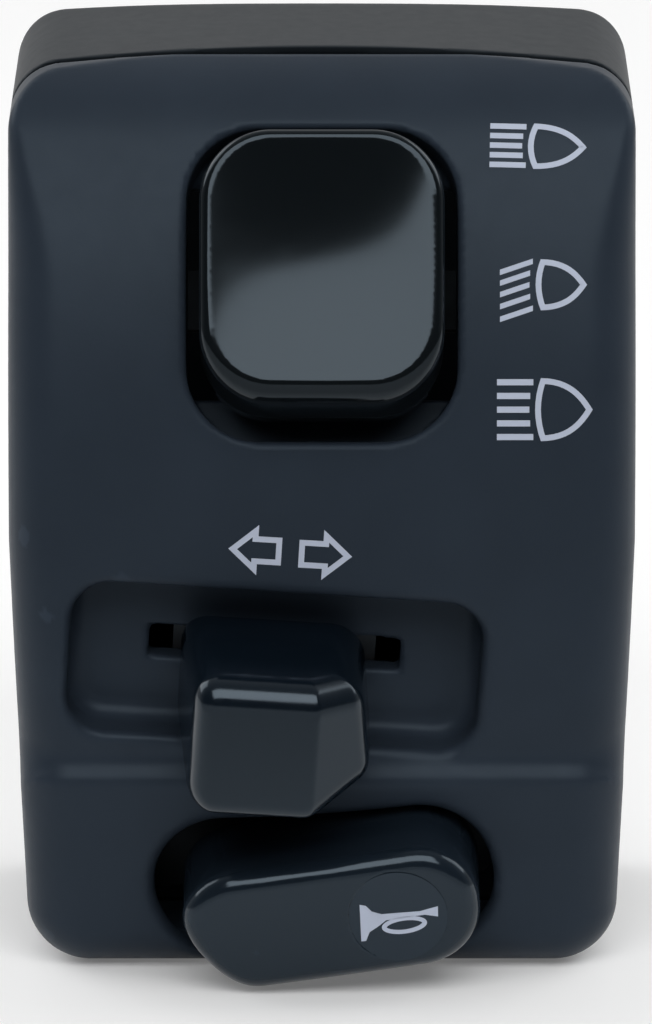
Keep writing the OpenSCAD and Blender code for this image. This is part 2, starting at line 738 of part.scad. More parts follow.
module rocker_detent_spring() {
    color([0.6, 0.62, 0.64]) on_rocker()
        coil(plunger_d / 2 - wire_d / 2 - 0.1, plunger_tip_z + plunger_l + spring_play,
            plunger_bore_top - spring_play, 6);
}

module headlight_base() {
    base_w = 2 * (headlight_post_x + small_screw_d / 2 + 0.8);
    color([0.13, 0.12, 0.12]) on_rocker() difference() {
        union() {
            translate([0, 0, headlight_base_z - headlight_base_t / 2])
                cube([2 * cheek_x1, 2 * headlight_base_half_h, headlight_base_t], center = true);
            translate([0, 0, headlight_base_z - headlight_base_t / 2])
                cube([base_w, base_ear_h, headlight_base_t], center = true);
            for (s = [-1, 1]) translate([s * (cheek_x0 + cheek_x1) / 2, 0, 0]) {
                cheek_top = -pivot_depth + pivot_pin_d / 2 + 0.6;
                translate([0, 0, (headlight_base_z + cheek_top) / 2 - 0.5])
                    cube([cheek_t, 2 * cheek_half_h, cheek_top - headlight_base_z + 1], center = true);
            }
        }
        translate([0, 0, -pivot_depth]) rotate([0, 90, 0]) cylinder(d = pivot_pin_d, h = far, center = true);
        for (s = [-1, 1]) translate([s * headlight_post_x, 0, headlight_base_z - headlight_base_t - 1])
            cylinder(r = pilot_r, h = headlight_base_t + 2);
        for (sx = [-1, 1], sy = [-1, 1])
            translate([sx * headlight_strip_x, sy * headlight_terminal_y, headlight_base_z - far / 2])
                cylinder(d = terminal_d, h = far);
        notch_pitch = (pivot_depth + plunger_tip_z) * sin(rocker_tilt);
        for (i = [-1 : 1]) translate([0, i * notch_pitch, headlight_base_z]) rotate([0, 90, 0])
            cylinder(r = 0.3, h = plunger_d, center = true);
    }
}

module headlight_base_screws() {
    color([0.66, 0.67, 0.69]) on_rocker() for (s = [-1, 1]) translate([s * headlight_post_x, 0, 0])
        small_screw(headlight_base_z - headlight_base_t, headlight_base_t + screw_grip);
}

module headlight_contact_slider() {
    window_r = hub_d / 2 + slider_window_gap;
    color([0.14, 0.14, 0.15]) on_rocker() difference() {
        rounded_slab(2 * slider_half_w, 2 * slider_half_h, 0.8, slider_z, slider_z + slider_t);
        translate([0, 0, slider_z - 1]) cylinder(r = window_r, h = slider_t + 2);
    }
}

module headlight_contact_bridge() {
    color([0.8, 0.6, 0.3]) on_rocker() for (s = [-1, 1])
        translate([s * headlight_strip_x, 0, slider_z - strip_t / 2])
            cube([strip_w, 2 * slider_half_h - 2, strip_t], center = true);
}

module headlight_terminals() {
    color([0.8, 0.6, 0.3]) on_rocker() for (sx = [-1, 1], sy = [-1, 1])
        translate([sx * headlight_strip_x, sy * headlight_terminal_y, 0])
            terminal(headlight_base_z, headlight_base_t);
}

module turn_knob() {
    face_x = 0.5;
    left = face_x - knob_face_w / 2;
    right = face_x + knob_face_w / 2;
    base_half = knob_base_w / 2;
    low = knob_top_y - knob_face_h;
    high = knob_top_y;
    facet_w = 4.1;
    lower_cut = [4.4, 3.2];
    lower_round = 1.2;
    brow = 3;
    color([0.15, 0.17, 0.2]) on_turn() {
        hull() {
            translate([-base_half, knob_base_y, knob_under])
                cube([knob_base_w, knob_top_y - knob_base_y, 3]);
            translate([0, 0, knob_reach - brow]) linear_extrude(eps) polygon([
                [left, high], [right - 1, high], [right, low + lower_cut[1]],
                [right - lower_cut[0], low], [left + lower_round, low], [left, low + lower_round]]);
            translate([0, 0, knob_reach - eps]) linear_extrude(eps) polygon([
                [left + 1, high - brow], [right - facet_w, high - brow], [right - facet_w, low + 0.8],
                [right - facet_w - 0.6, low + 0.4], [left + lower_round + 0.6, low + 0.4],
                [left + 1, low + lower_round + 0.6]]);
        }
        translate([-blade_w / 2, -blade_t / 2, blade_end])
            cube([blade_w, blade_t, knob_under - blade_end + 1]);
        difference() {
            translate([0, 0, stem_end]) cylinder(d = stem_d, h = blade_end - stem_end + eps);
            translate([0, 0, turn_clip_z - clip_t]) difference() {
                cylinder(d = stem_d + 1, h = clip_t);
                cylinder(d = stem_d - 0.8, h = clip_t);
            }
        }
    }
}

module turn_stem_clip() {
    color([0.65, 0.66, 0.68]) on_turn() stem_clip(stem_d / 2 - 0.4, turn_clip_r, turn_clip_z);
}

module turn_cancel_spring() {
    color([0.6, 0.62, 0.64]) on_turn() 
        coil(cancel_spring_r, cancel_floor_z + spring_play, blade_end - spring_play, 5);
}

module turn_carriage() {
    color([0.14, 0.14, 0.15]) on_turn() difference() {
        rounded_slab(carriage_l, carriage_h, 0.6, carriage_bottom, carriage_top);
        translate([0, 0, blade_pocket_z + far / 4])
            cube([blade_w + 2 * move_gap, blade_t + 2 * move_gap, far / 2], center = true);
        translate([0, 0, cancel_floor_z]) cylinder(r = cancel_bore_r, h = carriage_t);
        translate([0, 0, carriage_bottom - 1]) cylinder(r = stem_d / 2 + run_gap, h = carriage_t);
        translate([ball_x, ball_bore_end, ball_z]) rotate([-90, 0, 0])
            cylinder(r = ball_d / 2 + run_gap, h = carriage_h);
        for (s = [-1, 1]) translate([s > 0 ? centring_x0 : -centring_x0 - far, 0, centring_z])
            rotate([0, 90, 0]) cylinder(r = centring_r + wire_d / 2 + 0.2, h = far);
    }
}

module turn_contact_bridge() {
    end_w = 1.4;
    half_l = carriage_l / 2 - 0.4;
    color([0.8, 0.6, 0.3]) on_turn() translate([0, 0, carriage_bottom - strip_t / 2]) {
        for (s = [-1, 1]) translate([0, s * turn_strip_y, 0])
            cube([2 * half_l, strip_w, strip_t], center = true);
        translate([-half_l + end_w / 2, 0, 0]) cube([end_w, 2 * turn_strip_y, strip_t], center = true);
    }
}

module turn_detent_ball() {
    color([0.75, 0.76, 0.78]) on_turn() translate([ball_x, ball_y, ball_z]) sphere(ball_d / 2);
}

module turn_detent_spring() {
    color([0.6, 0.62, 0.64]) on_turn() translate([ball_x, 0, ball_z]) rotate([-90, 0, 0])
        coil(ball_d / 2 - wire_d / 2 - 0.1, ball_bore_end + spring_play,
            ball_y - ball_d / 2 - spring_play, 6);
}

module turn_centring_springs() {
    color([0.6, 0.62, 0.64]) on_turn() for (s = [-1, 1]) translate([0, 0, centring_z]) rotate([0, s * 90, 0])
        coil(centring_r, centring_x0 + spring_play, stop_x - spring_play, 7);
}

module turn_base() {
    color([0.13, 0.12, 0.12]) on_turn() difference() {
        union() {
            rounded_slab(2 * (stop_x + stop_t), 2 * turn_base_half_h, base_r,
                turn_base_z - turn_base_t, turn_base_z);
            for (p = turn_post_places) translate([p[0], 0, turn_base_z - turn_base_t]) {
                translate([0, p[1], 0]) cylinder(d = base_ear_h, h = turn_base_t);
                translate([-base_ear_h / 2, min(0, p[1]), 0])
                    cube([base_ear_h, turn_post_y, turn_base_t]);
            }
            for (s = [-1, 1]) {
                translate([0, s * (rail_y0 + rail_t / 2), turn_base_z + rail_h / 2 - 0.5])
                    cube([2 * (stop_x + stop_t), rail_t, rail_h + 1], center = true);
                translate([s * (stop_x + stop_t / 2), 0, turn_base_z + rail_h / 2 - 0.5])
                    cube([stop_t, 2 * rail_y0 + rail_t, rail_h + 1], center = true);
            }
        }
        rounded_slab(2 * turn_slot_half_l, 2 * turn_slot_half_h, base_r,
            turn_base_z - turn_base_t - 1, turn_base_z + 1);
        for (p = turn_post_places) translate([p[0], p[1], turn_base_z - turn_base_t - 1])
            cylinder(r = pilot_r, h = turn_base_t + 2);
        for (p = turn_terminal_places) translate([p[0], p[1], turn_base_z - far / 2])
            cylinder(d = terminal_d, h = far / 2 + 1);
        for (i = [-1 : 1]) translate([ball_x + i * turn_travel, rail_y0, ball_z])
            cylinder(r = 0.7, h = 2 * rail_h, center = true);
    }
}

module turn_base_screws() {
    color([0.66, 0.67, 0.69]) on_turn() for (p = turn_post_places) translate([p[0], p[1], 0])
        small_screw(turn_base_z - turn_base_t, turn_base_t + screw_grip);
}

module turn_terminals() {
    color([0.8, 0.6, 0.3]) on_turn() for (p = turn_terminal_places) translate([p[0], p[1], 0])
        terminal(turn_base_z, turn_base_t);
}

module horn_button() {
    top = horn_proud;
    color([0.18, 0.2, 0.24]) on_horn() difference() {
        union() {
            hull() for (s = [[0, horn_under, eps], [0, top - 2 * horn_edge_r, horn_edge_r],
                    [0.3 * horn_edge_r, top - 0.5 * horn_edge_r, eps], [horn_edge_r, top - eps, eps]])
                rounded_slab(horn_w - 2 * s[0], horn_face_h - 2 * s[0], horn_corner_r - s[0] / 2,
                    s[1], s[1] + s[2], $fn = hull_fn);
            difference() {
                translate([0, 0, horn_stem_end])
                    cylinder(d = horn_stem_d, h = horn_under - horn_stem_end + 1);
                translate([0, 0, horn_clip_z - clip_t]) difference() {
                    cylinder(d = horn_stem_d + 1, h = clip_t);
                    cylinder(d = horn_stem_d - 0.8, h = clip_t);
                }
            }
        }
        translate([horn_inset_x, 0, top - inset_t]) cylinder(d = inset_d, h = 2 * inset_t);
    }
}

module horn_inset() {
    color([0.16, 0.18, 0.21]) on_horn() translate([horn_inset_x, 0, horn_proud - inset_t])
        cylinder(d = inset_d, h = inset_t - 0.1);
}

module horn_contact_bridge() {
    leg_w = 1.6;
    strip_half_l = horn_contact_x + leg_w / 2;
    color([0.8, 0.6, 0.3]) on_horn() difference() {
        union() {
            translate([0, 0, horn_under - strip_t / 2])
                cube([2 * strip_half_l, horn_stem_d + 3, strip_t], center = true);
            for (s = [-1, 1]) translate([s * horn_contact_x, 0, (horn_under + horn_leg_z) / 2])
                cube([leg_w, 3, horn_under - horn_leg_z], center = true);
        }
        translate([0, 0, horn_under - 1]) cylinder(r = horn_spring_r + wire_d / 2 + 0.3, h = 2);
    }
}

module horn_stem_clip() {
    color([0.65, 0.66, 0.68]) on_horn() stem_clip(horn_stem_d / 2 - 0.4, horn_clip_r, horn_clip_z);
}

module horn_return_spring() {
    color([0.6, 0.62, 0.64]) on_horn() 
        coil(horn_spring_r, horn_base_z + spring_play, horn_under - spring_play, 5);
}

module horn_base() {
    color([0.13, 0.12, 0.12]) on_horn() difference() {
        union() {
            rounded_slab(horn_open_w, 2 * horn_base_half_h, base_r, horn_base_z - horn_base_t, horn_base_z);
            rounded_slab(2 * horn_base_half_w, base_ear_h, base_r, horn_base_z - horn_base_t, horn_base_z);
        }
        translate([0, 0, horn_base_z - horn_base_t - 1])
            cylinder(r = horn_stem_d / 2 + run_gap, h = horn_base_t + 2);
        for (s = [-1, 1]) {
            translate([s * horn_post_x, 0, horn_base_z - horn_base_t - 1])
                cylinder(r = pilot_r, h = horn_base_t + 2);
            translate([s * horn_contact_x, 0, horn_base_z - far / 2])
                cylinder(d = terminal_d, h = far / 2 + 1);
        }
    }
}

module horn_base_screws() {
    color([0.66, 0.67, 0.69]) on_horn() for (s = [-1, 1]) translate([s * horn_post_x, 0, 0])
        small_screw(horn_base_z - horn_base_t, horn_base_t + horn_screw_grip);
}

module horn_contact_rivets() {
    color([0.8, 0.6, 0.3]) on_horn() for (s = [-1, 1]) translate([s * horn_contact_x, 0, 0])
        terminal(horn_base_z, horn_base_t);
}

rear_shell();
front_shell();
clamp_screws();
clamp_washers();
threaded_inserts();
cable_grommet();
rocker_cap();
rocker_pivot_pins();
rocker_detent_plunger();
rocker_detent_spring();
headlight_base();
headlight_base_screws();
headlight_contact_slider();
headlight_contact_bridge();
headlight_terminals();
turn_knob();
turn_stem_clip();
turn_cancel_spring();
turn_carriage();
turn_contact_bridge();
turn_detent_ball();
turn_detent_spring();
turn_centring_springs();
turn_base();
turn_base_screws();
turn_terminals();
horn_button();
horn_inset();
horn_contact_bridge();
horn_stem_clip();
horn_return_spring();
horn_base();
horn_base_screws();
horn_contact_rivets();
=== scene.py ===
from math import asin, atan, cos, pi, radians, sin, sqrt, tan

import bpy
import numpy as np
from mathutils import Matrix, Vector


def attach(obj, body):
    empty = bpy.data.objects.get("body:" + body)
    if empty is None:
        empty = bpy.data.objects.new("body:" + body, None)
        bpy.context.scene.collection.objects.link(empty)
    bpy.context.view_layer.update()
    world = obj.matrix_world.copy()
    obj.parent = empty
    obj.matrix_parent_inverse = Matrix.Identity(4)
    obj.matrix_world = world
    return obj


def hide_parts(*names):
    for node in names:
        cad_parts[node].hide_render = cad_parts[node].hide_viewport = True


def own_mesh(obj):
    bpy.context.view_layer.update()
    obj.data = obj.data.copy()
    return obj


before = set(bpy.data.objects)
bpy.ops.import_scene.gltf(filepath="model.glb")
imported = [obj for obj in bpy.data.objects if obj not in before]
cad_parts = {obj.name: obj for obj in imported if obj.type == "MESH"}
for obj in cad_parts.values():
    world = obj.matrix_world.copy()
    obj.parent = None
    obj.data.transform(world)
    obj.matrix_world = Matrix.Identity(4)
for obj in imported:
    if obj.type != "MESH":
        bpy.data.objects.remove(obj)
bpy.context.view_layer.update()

MM = 0.001

# Sizes of the part in millimetres, as in its source
BAR_R, HALF_W, CAVITY_W = 11.1, 23.0, 34.0
TOP_Z, ROOF_Z, BOTTOM_Z, BULGE_Z = 23.3, 23.23, -44.6, -11.1
FACE_R, DRUM_Y = 55.0, 27.0
BROW_R, BROW_TURN = 12.0, radians(31.8)
BROW_Y, BROW_Z = DRUM_Y - (FACE_R - BROW_R) * cos(BROW_TURN), BULGE_Z + (FACE_R - BROW_R) * sin(BROW_TURN)
FRONT_R, FRONT_Y, FRONT_Z, FRONT_LEAN = 15.5, 0.0, 8.1, radians(11)
WALL, EDGE_R, CORNER_R, SIDE_DRAW, CROWN_R = 2.2, 4.0, 4.6, 1.0, 190.0
PARTING_Y, GROOVE_W, GROOVE_D = -13.0, 0.8, 0.6
EDGE_TURN_Z = 7.0
TONGUE_END, TONGUE_GAP = 4.0, 0.15
LEDGE_Z, POD_Y, POD_LEAN, LEDGE_SLOPE = -28.4, -26.0, radians(12), radians(35)
LEDGE_R, LEDGE_FILLET, POD_PROUD, LEDGE_DROP = 1.2, 1.6, 0.5, 0.4
CLAMPS = [(-17.0, 16.9), (17.0, -15.5)]
CLAMP_SEAT_Y = 5.0
ENTRY_Z = BOTTOM_Z + 11
ENTRY_Y = FRONT_Y + FRONT_R / cos(FRONT_LEAN) - (FRONT_Z - ENTRY_Z) * tan(FRONT_LEAN)
GROMMET_R = 5.8

ROCKER_Z = TOP_Z - 15
ROCKER_LEAN = asin((ROCKER_Z - BULGE_Z) / FACE_R)
ROCKER_Y = DRUM_Y - FACE_R * cos(ROCKER_LEAN)
ROCKER_W, ROCKER_H, ROCKER_TOP, ROCKER_RAKE, ROCKER_SKIRT = 17.8, 19.8, 4.6, 1.0, -3.0
PIVOT_DEPTH = 4.5
TURN_Z = BOTTOM_Z + 24.8
TURN_Y = DRUM_Y - sqrt(FACE_R ** 2 - (TURN_Z - BULGE_Z) ** 2) + 4.4
TURN_X, TURN_LEAN, TURN_SLANT = -3.5, -radians(8), -radians(3.8)
RECESS_L, RECESS_H, RECESS_R, RECESS_DEPTH, RECESS_FLOOR = 30.3, 12.1, 3.0, 4.4, 2.0
KNOB_LEFT, KNOB_RIGHT, KNOB_TOP, KNOB_BASE = 6.35, 7.35, 3.15, 4.15
KNOB_REACH, KNOB_SHOULDER, KNOB_UNDER, BLADE_END = 14.48, 11.6, 1.8, -2.7
HORN_X, HORN_Z = 0.6, BOTTOM_Z + 7
HORN_Y = POD_Y + (LEDGE_Z - HORN_Z) * tan(POD_LEAN)
HORN_SLANT = radians(9)
HORN_W, HORN_H, HORN_R, HORN_TOP, HORN_UNDER, HORN_GAP, HORN_OPEN_L = 22.2, 9.8, 4.2, 6.6, -2.2, 0.5, 24.8
INSET_X, INSET_D = 5.0, 7.4

# Cosines of the turns between sides that meet in a rounded edge
ROOF_COS, LEDGE_COS, POD_COS = 0.1, 0.39, 0.29

# Edge radii of the shells, and how far their inner forms keep from the parting and from the outside
TOP_EDGE_R, PARTING_R, INNER_FILLET, INNER_BACK, INNER_SKIN = 0.3, 0.3, 0.3, 0.3, 0.5
REAR_BAR_EDGE, FRONT_BAR_EDGE, GROMMET_EDGE, FRONT_FAR = 0.25, 0.3, 0.3, 40

# Openings in the rear shell, and the well under the rocker
ROCKER_OPEN_W, ROCKER_OPEN_H, ROCKER_OPEN_R = ROCKER_W + 2, ROCKER_H + 3.2, 5.4
ROCKER_OPEN_END, ROCKER_OPEN_EDGE = -5.4, 0.45
WELL_W, WELL_H, WELL_R, WELL_END, WELL_TOP, WELL_SKIN = ROCKER_W + 4.4, ROCKER_H + 5.6, 6.6, -8.2, -1, 1
WELL_FLOOR_FROM, WELL_FLOOR_TOP = 7.8, -7
RECESS_EDGE, RECESS_FLOOR_R, TUB_WALL = 0.8, 1.3, 1.8
SLOT_L, SLOT_H, SLOT_R, SLOT_REACH, SLOT_EDGE = 18.6, 2.6, 0.4, 6, 0.2
HORN_OPEN_END, HORN_OPEN_FILLET, HORN_OPEN_EDGE = -5, 1.5, 1.0
HORN_LEVEL_END, HORN_LEVEL_R = -4.4, 5.2

# Posts for the bases' screws, and the clamp screws' posts, inserts, holes and head seats
TURN_POSTS, TURN_POST_R, TURN_POST_END, TURN_POST_TOP = ((9.55, 7.9), (-9.55, -7.9)), 1.6, -9.9, -0.5
ROCKER_POST_X, ROCKER_POST_END, HORN_POST_X, HORN_POST_END, POST_R = 12.1, -10.5, 15.2, -7, 1.9
CLAMP_POST_R, CLAMP_COLLAR_R, CLAMP_HOLE_R, CLAMP_HEAD_R, CLAMP_HEAD_EDGE = 4.0, 5.7, 2.7, 4.8, 0.35
INSERT_R, INSERT_DEPTH, INSERT_SKIN = 3.1, 4.3, 1.7

# The rocker cap's corners, dish, edges, hollow, ears, hub and bores
CAP_CORNER_R, CAP_DISH, CAP_EDGE_R, CAP_EDGE_GROWTH = 5.2, 0.75, 0.9, 0.7
CAP_WALL, CAP_HOLLOW_R, CAP_HOLLOW_TOP, CAP_INNER_TOP = 1.5, 2.6, 2.2, 2.6
EAR_X, EAR_HALF_T, EAR_HALF_H, EAR_END = 8.15, 0.75, 3.4, -6.65
HUB_R, HUB_END, HUB_BORE_R, HUB_BORE_TOP, PIVOT_HOLE_R = 2.7, -9.0, 1.55, -0.1, 1.3

# The knob's slopes, the planes of its facet and of its cut corner, its edges, and the blade and stem that carry it
KNOB_DRAW, KNOB_FLANK, KNOB_LEAN, KNOB_LEAN_Y, KNOB_SWEEP = 0.125, 0.85, 0.14, -4.5, 0.357
KNOB_CHIN, CHIN_DRAW, SIDE_STEEP, UNDER_STEEP = 7.65, 0.15, 0.99, 0.942
FACET_AT, FACET_WAY, FACET_R, FACET_COS = (3.2, 0, KNOB_REACH), (0.595, 0, 0.804), 0.6, 0.8
NOTCH_AT, NOTCH_WAY, NOTCH_R, NOTCH_COS = (7.3, -4.5, 11.3), (0.63, -0.753, 0.19), 1.2, 0.6
NOSE_RIGHT_R, NOSE_RIGHT_COS, NOSE_LEFT_R, NOSE_TOP_R = 1.0, 0.3, 2.0, 2.3
CHIN_R, CHIN_COS, LOW_LEFT_R, LOW_R, UNDER_R = 2.0, 0.88, 2.4, 0.9, 0.3
BLADE_W, BLADE_H, BLADE_INTO = 8, 2.2, 1
STEM_R, STEM_END, STEM_INTO, STEM_GROOVE_R, STEM_GROOVE = 1.6, -10.9, 0.2, 1.2, (-10.1, -9.4)

# The horn button's corners, cut left end, crown, edges, seat of the inset, and stem
HORN_CORNER_R, HORN_EDGE_R, HORN_CROWN, HORN_CROWN_X, HORN_CROWN_Y = 4.7, 1.4, 0.2, 11, 5
HORN_CUT_AT, HORN_CUT_WAY, HORN_CUT_R, HORN_CUT_COS = (-10.85, -0.4, 0), (-0.839, -0.545, 0), 5.0, 0.6
INSET_PLAY, INSET_DEPTH, INSET_EDGE = 0.15, 1, 0.06
HORN_STEM_R, HORN_STEM_END, HORN_GROOVE_R, HORN_GROOVE = 2.2, -10.6, 1.8, (-9.8, -9.1)

SIGN_RISE, SIGN_DEPTH, COIL_PLAY = 0.025, 0.08, 0.1


# Signed distances: negative inside, arrays of points in, one distance each out
def cut(a, b, r, c=0.0):
    """Both shapes at once, with their edge rounded to r. c is the cosine of the turn between their sides."""
    u, v, c = a + r, b + r, np.clip(c, -0.95, 0.95)
    arc = np.sqrt(np.maximum(u * u + v * v - 2 * c * u * v, 0) / (1 - c * c)) - r
    return np.where((u > c * v) & (v > c * u), arc, np.maximum(a, b))


def join(a, b, r, c=0.0):
    """Either shape, with a fillet of r between them."""
    return -cut(-a, -b, r, c)


def rect(x, y, w, h, r):
    qx, qy = np.abs(x) - w / 2 + r, np.abs(y) - h / 2 + r
    return np.hypot(np.maximum(qx, 0), np.maximum(qy, 0)) + np.minimum(np.maximum(qx, qy), 0) - r


def block(x, y, z, w, h, d):
    return np.maximum(np.maximum(np.abs(x) - w / 2, np.abs(y) - h / 2), np.abs(z) - d / 2)


def rod(a, b, r):
    return np.hypot(a, b) - r


def span(a, low, high):
    return np.maximum(low - a, a - high)


def plane(x, y, z, at, way):
    """How far points lie beyond the plane through one point, along the way that it faces."""
    return (x - at[0]) * way[0] + (y - at[1]) * way[1] + (z - at[2]) * way[2]


class Place:
    """A place on the housing: local Z points out of the face and local Y up it."""

    def __init__(self, x, y, z, lean, slant=0.0):
        a = pi / 2 - lean
        tilt = np.array([[1, 0, 0], [0, cos(a), -sin(a)], [0, sin(a), cos(a)]])
        turn = np.array([[cos(slant), -sin(slant), 0], [sin(slant), cos(slant), 0], [0, 0, 1]])
        self.at, self.turn = np.array([x, y, z]), tilt @ turn

    def local(self, x, y, z):
        d = (x - self.at[0], y - self.at[1], z - self.at[2])
        return [d[0] * self.turn[0, i] + d[1] * self.turn[1, i] + d[2] * self.turn[2, i] for i in range(3)]

    def world(self, points):
        return np.asarray(points) @ self.turn.T + self.at


ROCKER = Place(0, ROCKER_Y, ROCKER_Z, ROCKER_LEAN)
TURN = Place(TURN_X, TURN_Y, TURN_Z, TURN_LEAN, TURN_SLANT)
HORN = Place(HORN_X, HORN_Y, HORN_Z, -POD_LEAN, HORN_SLANT)
HORN_LEVEL = Place(0, HORN_Y, HORN_Z, -POD_LEAN)


def outline(x, z):
    """The outline that the rider sees."""
    low_turn = atan(SIDE_DRAW / (BULGE_Z - BOTTOM_Z - CORNER_R))
    upright = np.abs(x) - HALF_W
    drawn = (upright + (BULGE_Z - z) * tan(low_turn)) * cos(low_turn)
    sides = np.maximum(upright, drawn)
    roof = np.hypot(x, z - ROOF_Z + CROWN_R) - CROWN_R
    return cut(cut(sides, roof, EDGE_R, ROOF_COS), BOTTOM_Z - z, CORNER_R)


def over_brow(y, z):
    return (z - BULGE_Z) * cos(BROW_TURN) > (DRUM_Y - y) * sin(BROW_TURN)


def face(y, z, brow):
    """The drum of the face, with the horn's pod standing under its ledge and, if asked, a round brow above."""
    drum = np.hypot(y - DRUM_Y, z - BULGE_Z) - FACE_R
    if brow:
        drum = np.where(over_brow(y, z), np.hypot(y - BROW_Y, z - BROW_Z) - BROW_R, drum)
    dy, dz = y - POD_Y + POD_PROUD, z - LEDGE_Z + LEDGE_DROP
    front = -(dy * cos(POD_LEAN) + dz * sin(POD_LEAN))
    ledge = dz * cos(LEDGE_SLOPE) - dy * sin(LEDGE_SLOPE)
    return join(drum, cut(front, ledge, LEDGE_R, LEDGE_COS), LEDGE_FILLET, POD_COS)


def front(y, z):
    """The wall in front of the bar, round at its upper corner."""
    dy, dz = y - FRONT_Y, z - FRONT_Z
    turn = np.arctan2(dz, dy)
    wall = dy * cos(FRONT_LEAN) - dz * sin(FRONT_LEAN)
    flat = np.where((turn < -FRONT_LEAN) & (turn > FRONT_LEAN - pi), wall, dz)
    return np.where((turn >= -FRONT_LEAN) & (turn <= pi / 2), np.hypot(dy, dz), flat) - FRONT_R


def housing(x, y, z, brow=False, h=0.05):
    rim = outline(x, z)
    rise = (outline(x, z + h) - outline(x, z - h)) / (2 * h)
    face_rise = np.where(z > LEDGE_Z, (z - BULGE_Z) / FACE_R, -sin(POD_LEAN))
    front_rise = (front(y, z + h) - front(y, z - h)) / (2 * h)
    edge_r = EDGE_R
    if brow:
        face_rise = np.where(over_brow(y, z), (z - BROW_Z) / BROW_R, face_rise)
        climb = np.clip((z - EDGE_TURN_Z) / (ROOF_Z - EDGE_TURN_Z), 0, 1)
        edge_r = EDGE_R - (EDGE_R - TOP_EDGE_R) * climb * climb * (3 - 2 * climb)
    behind = cut(face(y, z, brow), rim, edge_r, rise * face_rise)
    return np.maximum(behind, cut(front(y, z), rim, EDGE_R, rise * front_rise))


def seats(x, y, z, low, high, half_h):
    return np.maximum(np.maximum(CAVITY_W / 2 - np.abs(x), span(y, low, high)), np.abs(z) - half_h)


def rocker_opening(x, y, z):
    lx, ly, lz = ROCKER.local(x, y, z)
    return np.maximum(rect(lx, ly, ROCKER_OPEN_W, ROCKER_OPEN_H, ROCKER_OPEN_R), ROCKER_OPEN_END - lz)


def rocker_well(x, y, z):
    """Walls down from the rocker's opening, and a floor beyond each end of the base."""
    lx, ly, lz = ROCKER.local(x, y, z)
    around = rect(lx, ly, WELL_W, WELL_H, WELL_R)
    wall = np.maximum(-rect(lx, ly, ROCKER_OPEN_W, ROCKER_OPEN_H, ROCKER_OPEN_R), span(lz, WELL_END, WELL_TOP))
    plate = np.maximum(WELL_FLOOR_FROM - np.abs(ly), span(lz, WELL_END, WELL_FLOOR_TOP))
    return np.maximum(np.maximum(around, np.minimum(wall, plate)), y - PARTING_Y + INNER_BACK)


def horn_opening(x, y, z):
    lx, ly, lz = HORN.local(x, y, z)
    height = HORN_H + 2 * HORN_GAP
    slanted = np.maximum(rect(lx, ly, HORN_W + 2 * HORN_GAP, height, HORN_R + HORN_GAP), HORN_OPEN_END - lz)
    lx, ly, lz = HORN_LEVEL.local(x, y, z)
    level = np.maximum(rect(lx, ly, HORN_OPEN_L, height, HORN_LEVEL_R), HORN_LEVEL_END - lz)
    return join(slanted, level, HORN_OPEN_FILLET)


def rear_shell(x, y, z):
    h = housing(x, y, z, brow=True)
    shell = np.maximum(cut(h, y - PARTING_Y, PARTING_R), -h - WALL)
    tongues = seats(x, y, z, DRUM_Y - FACE_R, -TONGUE_END, BAR_R - TONGUE_GAP)
    lx, ly, lz = TURN.local(x, y, z)
    recess = cut(rect(lx, ly, RECESS_L, RECESS_H, RECESS_R), -lz, RECESS_FLOOR_R)
    slot = np.maximum(rect(lx, ly, SLOT_L, SLOT_H, SLOT_R), np.abs(lz) - SLOT_REACH)
    tub = rect(lx, ly, RECESS_L + 2 * TUB_WALL, RECESS_H + 2 * TUB_WALL, RECESS_R + TUB_WALL)
    inner = np.maximum(tub, span(lz, -RECESS_FLOOR, RECESS_DEPTH))
    for px, py in TURN_POSTS:
        post = np.maximum(rod(lx - px, ly - py, TURN_POST_R), span(lz, TURN_POST_END, TURN_POST_TOP))
        inner = np.minimum(inner, post)
    for cx, cz in CLAMPS:
        inner = np.minimum(inner, rod(x - cx, z - cz, CLAMP_POST_R))
    rx, ry, rz = ROCKER.local(x, y, z)
    hx, hy, hz = HORN.local(x, y, z)
    for s in (-1, 1):
        inner = np.minimum(inner, np.maximum(rod(rx - s * ROCKER_POST_X, ry, POST_R), span(rz, ROCKER_POST_END, 0)))
        inner = np.minimum(inner, np.maximum(rod(hx - s * HORN_POST_X, hy, POST_R), span(hz, HORN_POST_END, 0)))
    inner = np.maximum(np.maximum(inner, y - PARTING_Y + INNER_BACK), h + INNER_SKIN)
    body = np.minimum(join(shell, inner, INNER_FILLET), np.maximum(h, tongues))
    body = cut(body, -rocker_opening(x, y, z), ROCKER_OPEN_EDGE)
    body = np.minimum(body, np.maximum(rocker_well(x, y, z), h + WELL_SKIN))
    body = cut(body, -recess, RECESS_EDGE)
    body = cut(body, -slot, SLOT_EDGE)
    body = cut(body, -horn_opening(x, y, z), HORN_OPEN_EDGE)
    body = cut(body, BAR_R - np.hypot(y, z), REAR_BAR_EDGE)
    for cx, cz in CLAMPS:
        hole = np.maximum(rod(x - cx, z - cz, INSERT_R), PARTING_Y - INSERT_DEPTH - y)
        body = np.maximum(body, -np.maximum(hole, h + INSERT_SKIN))
    return body


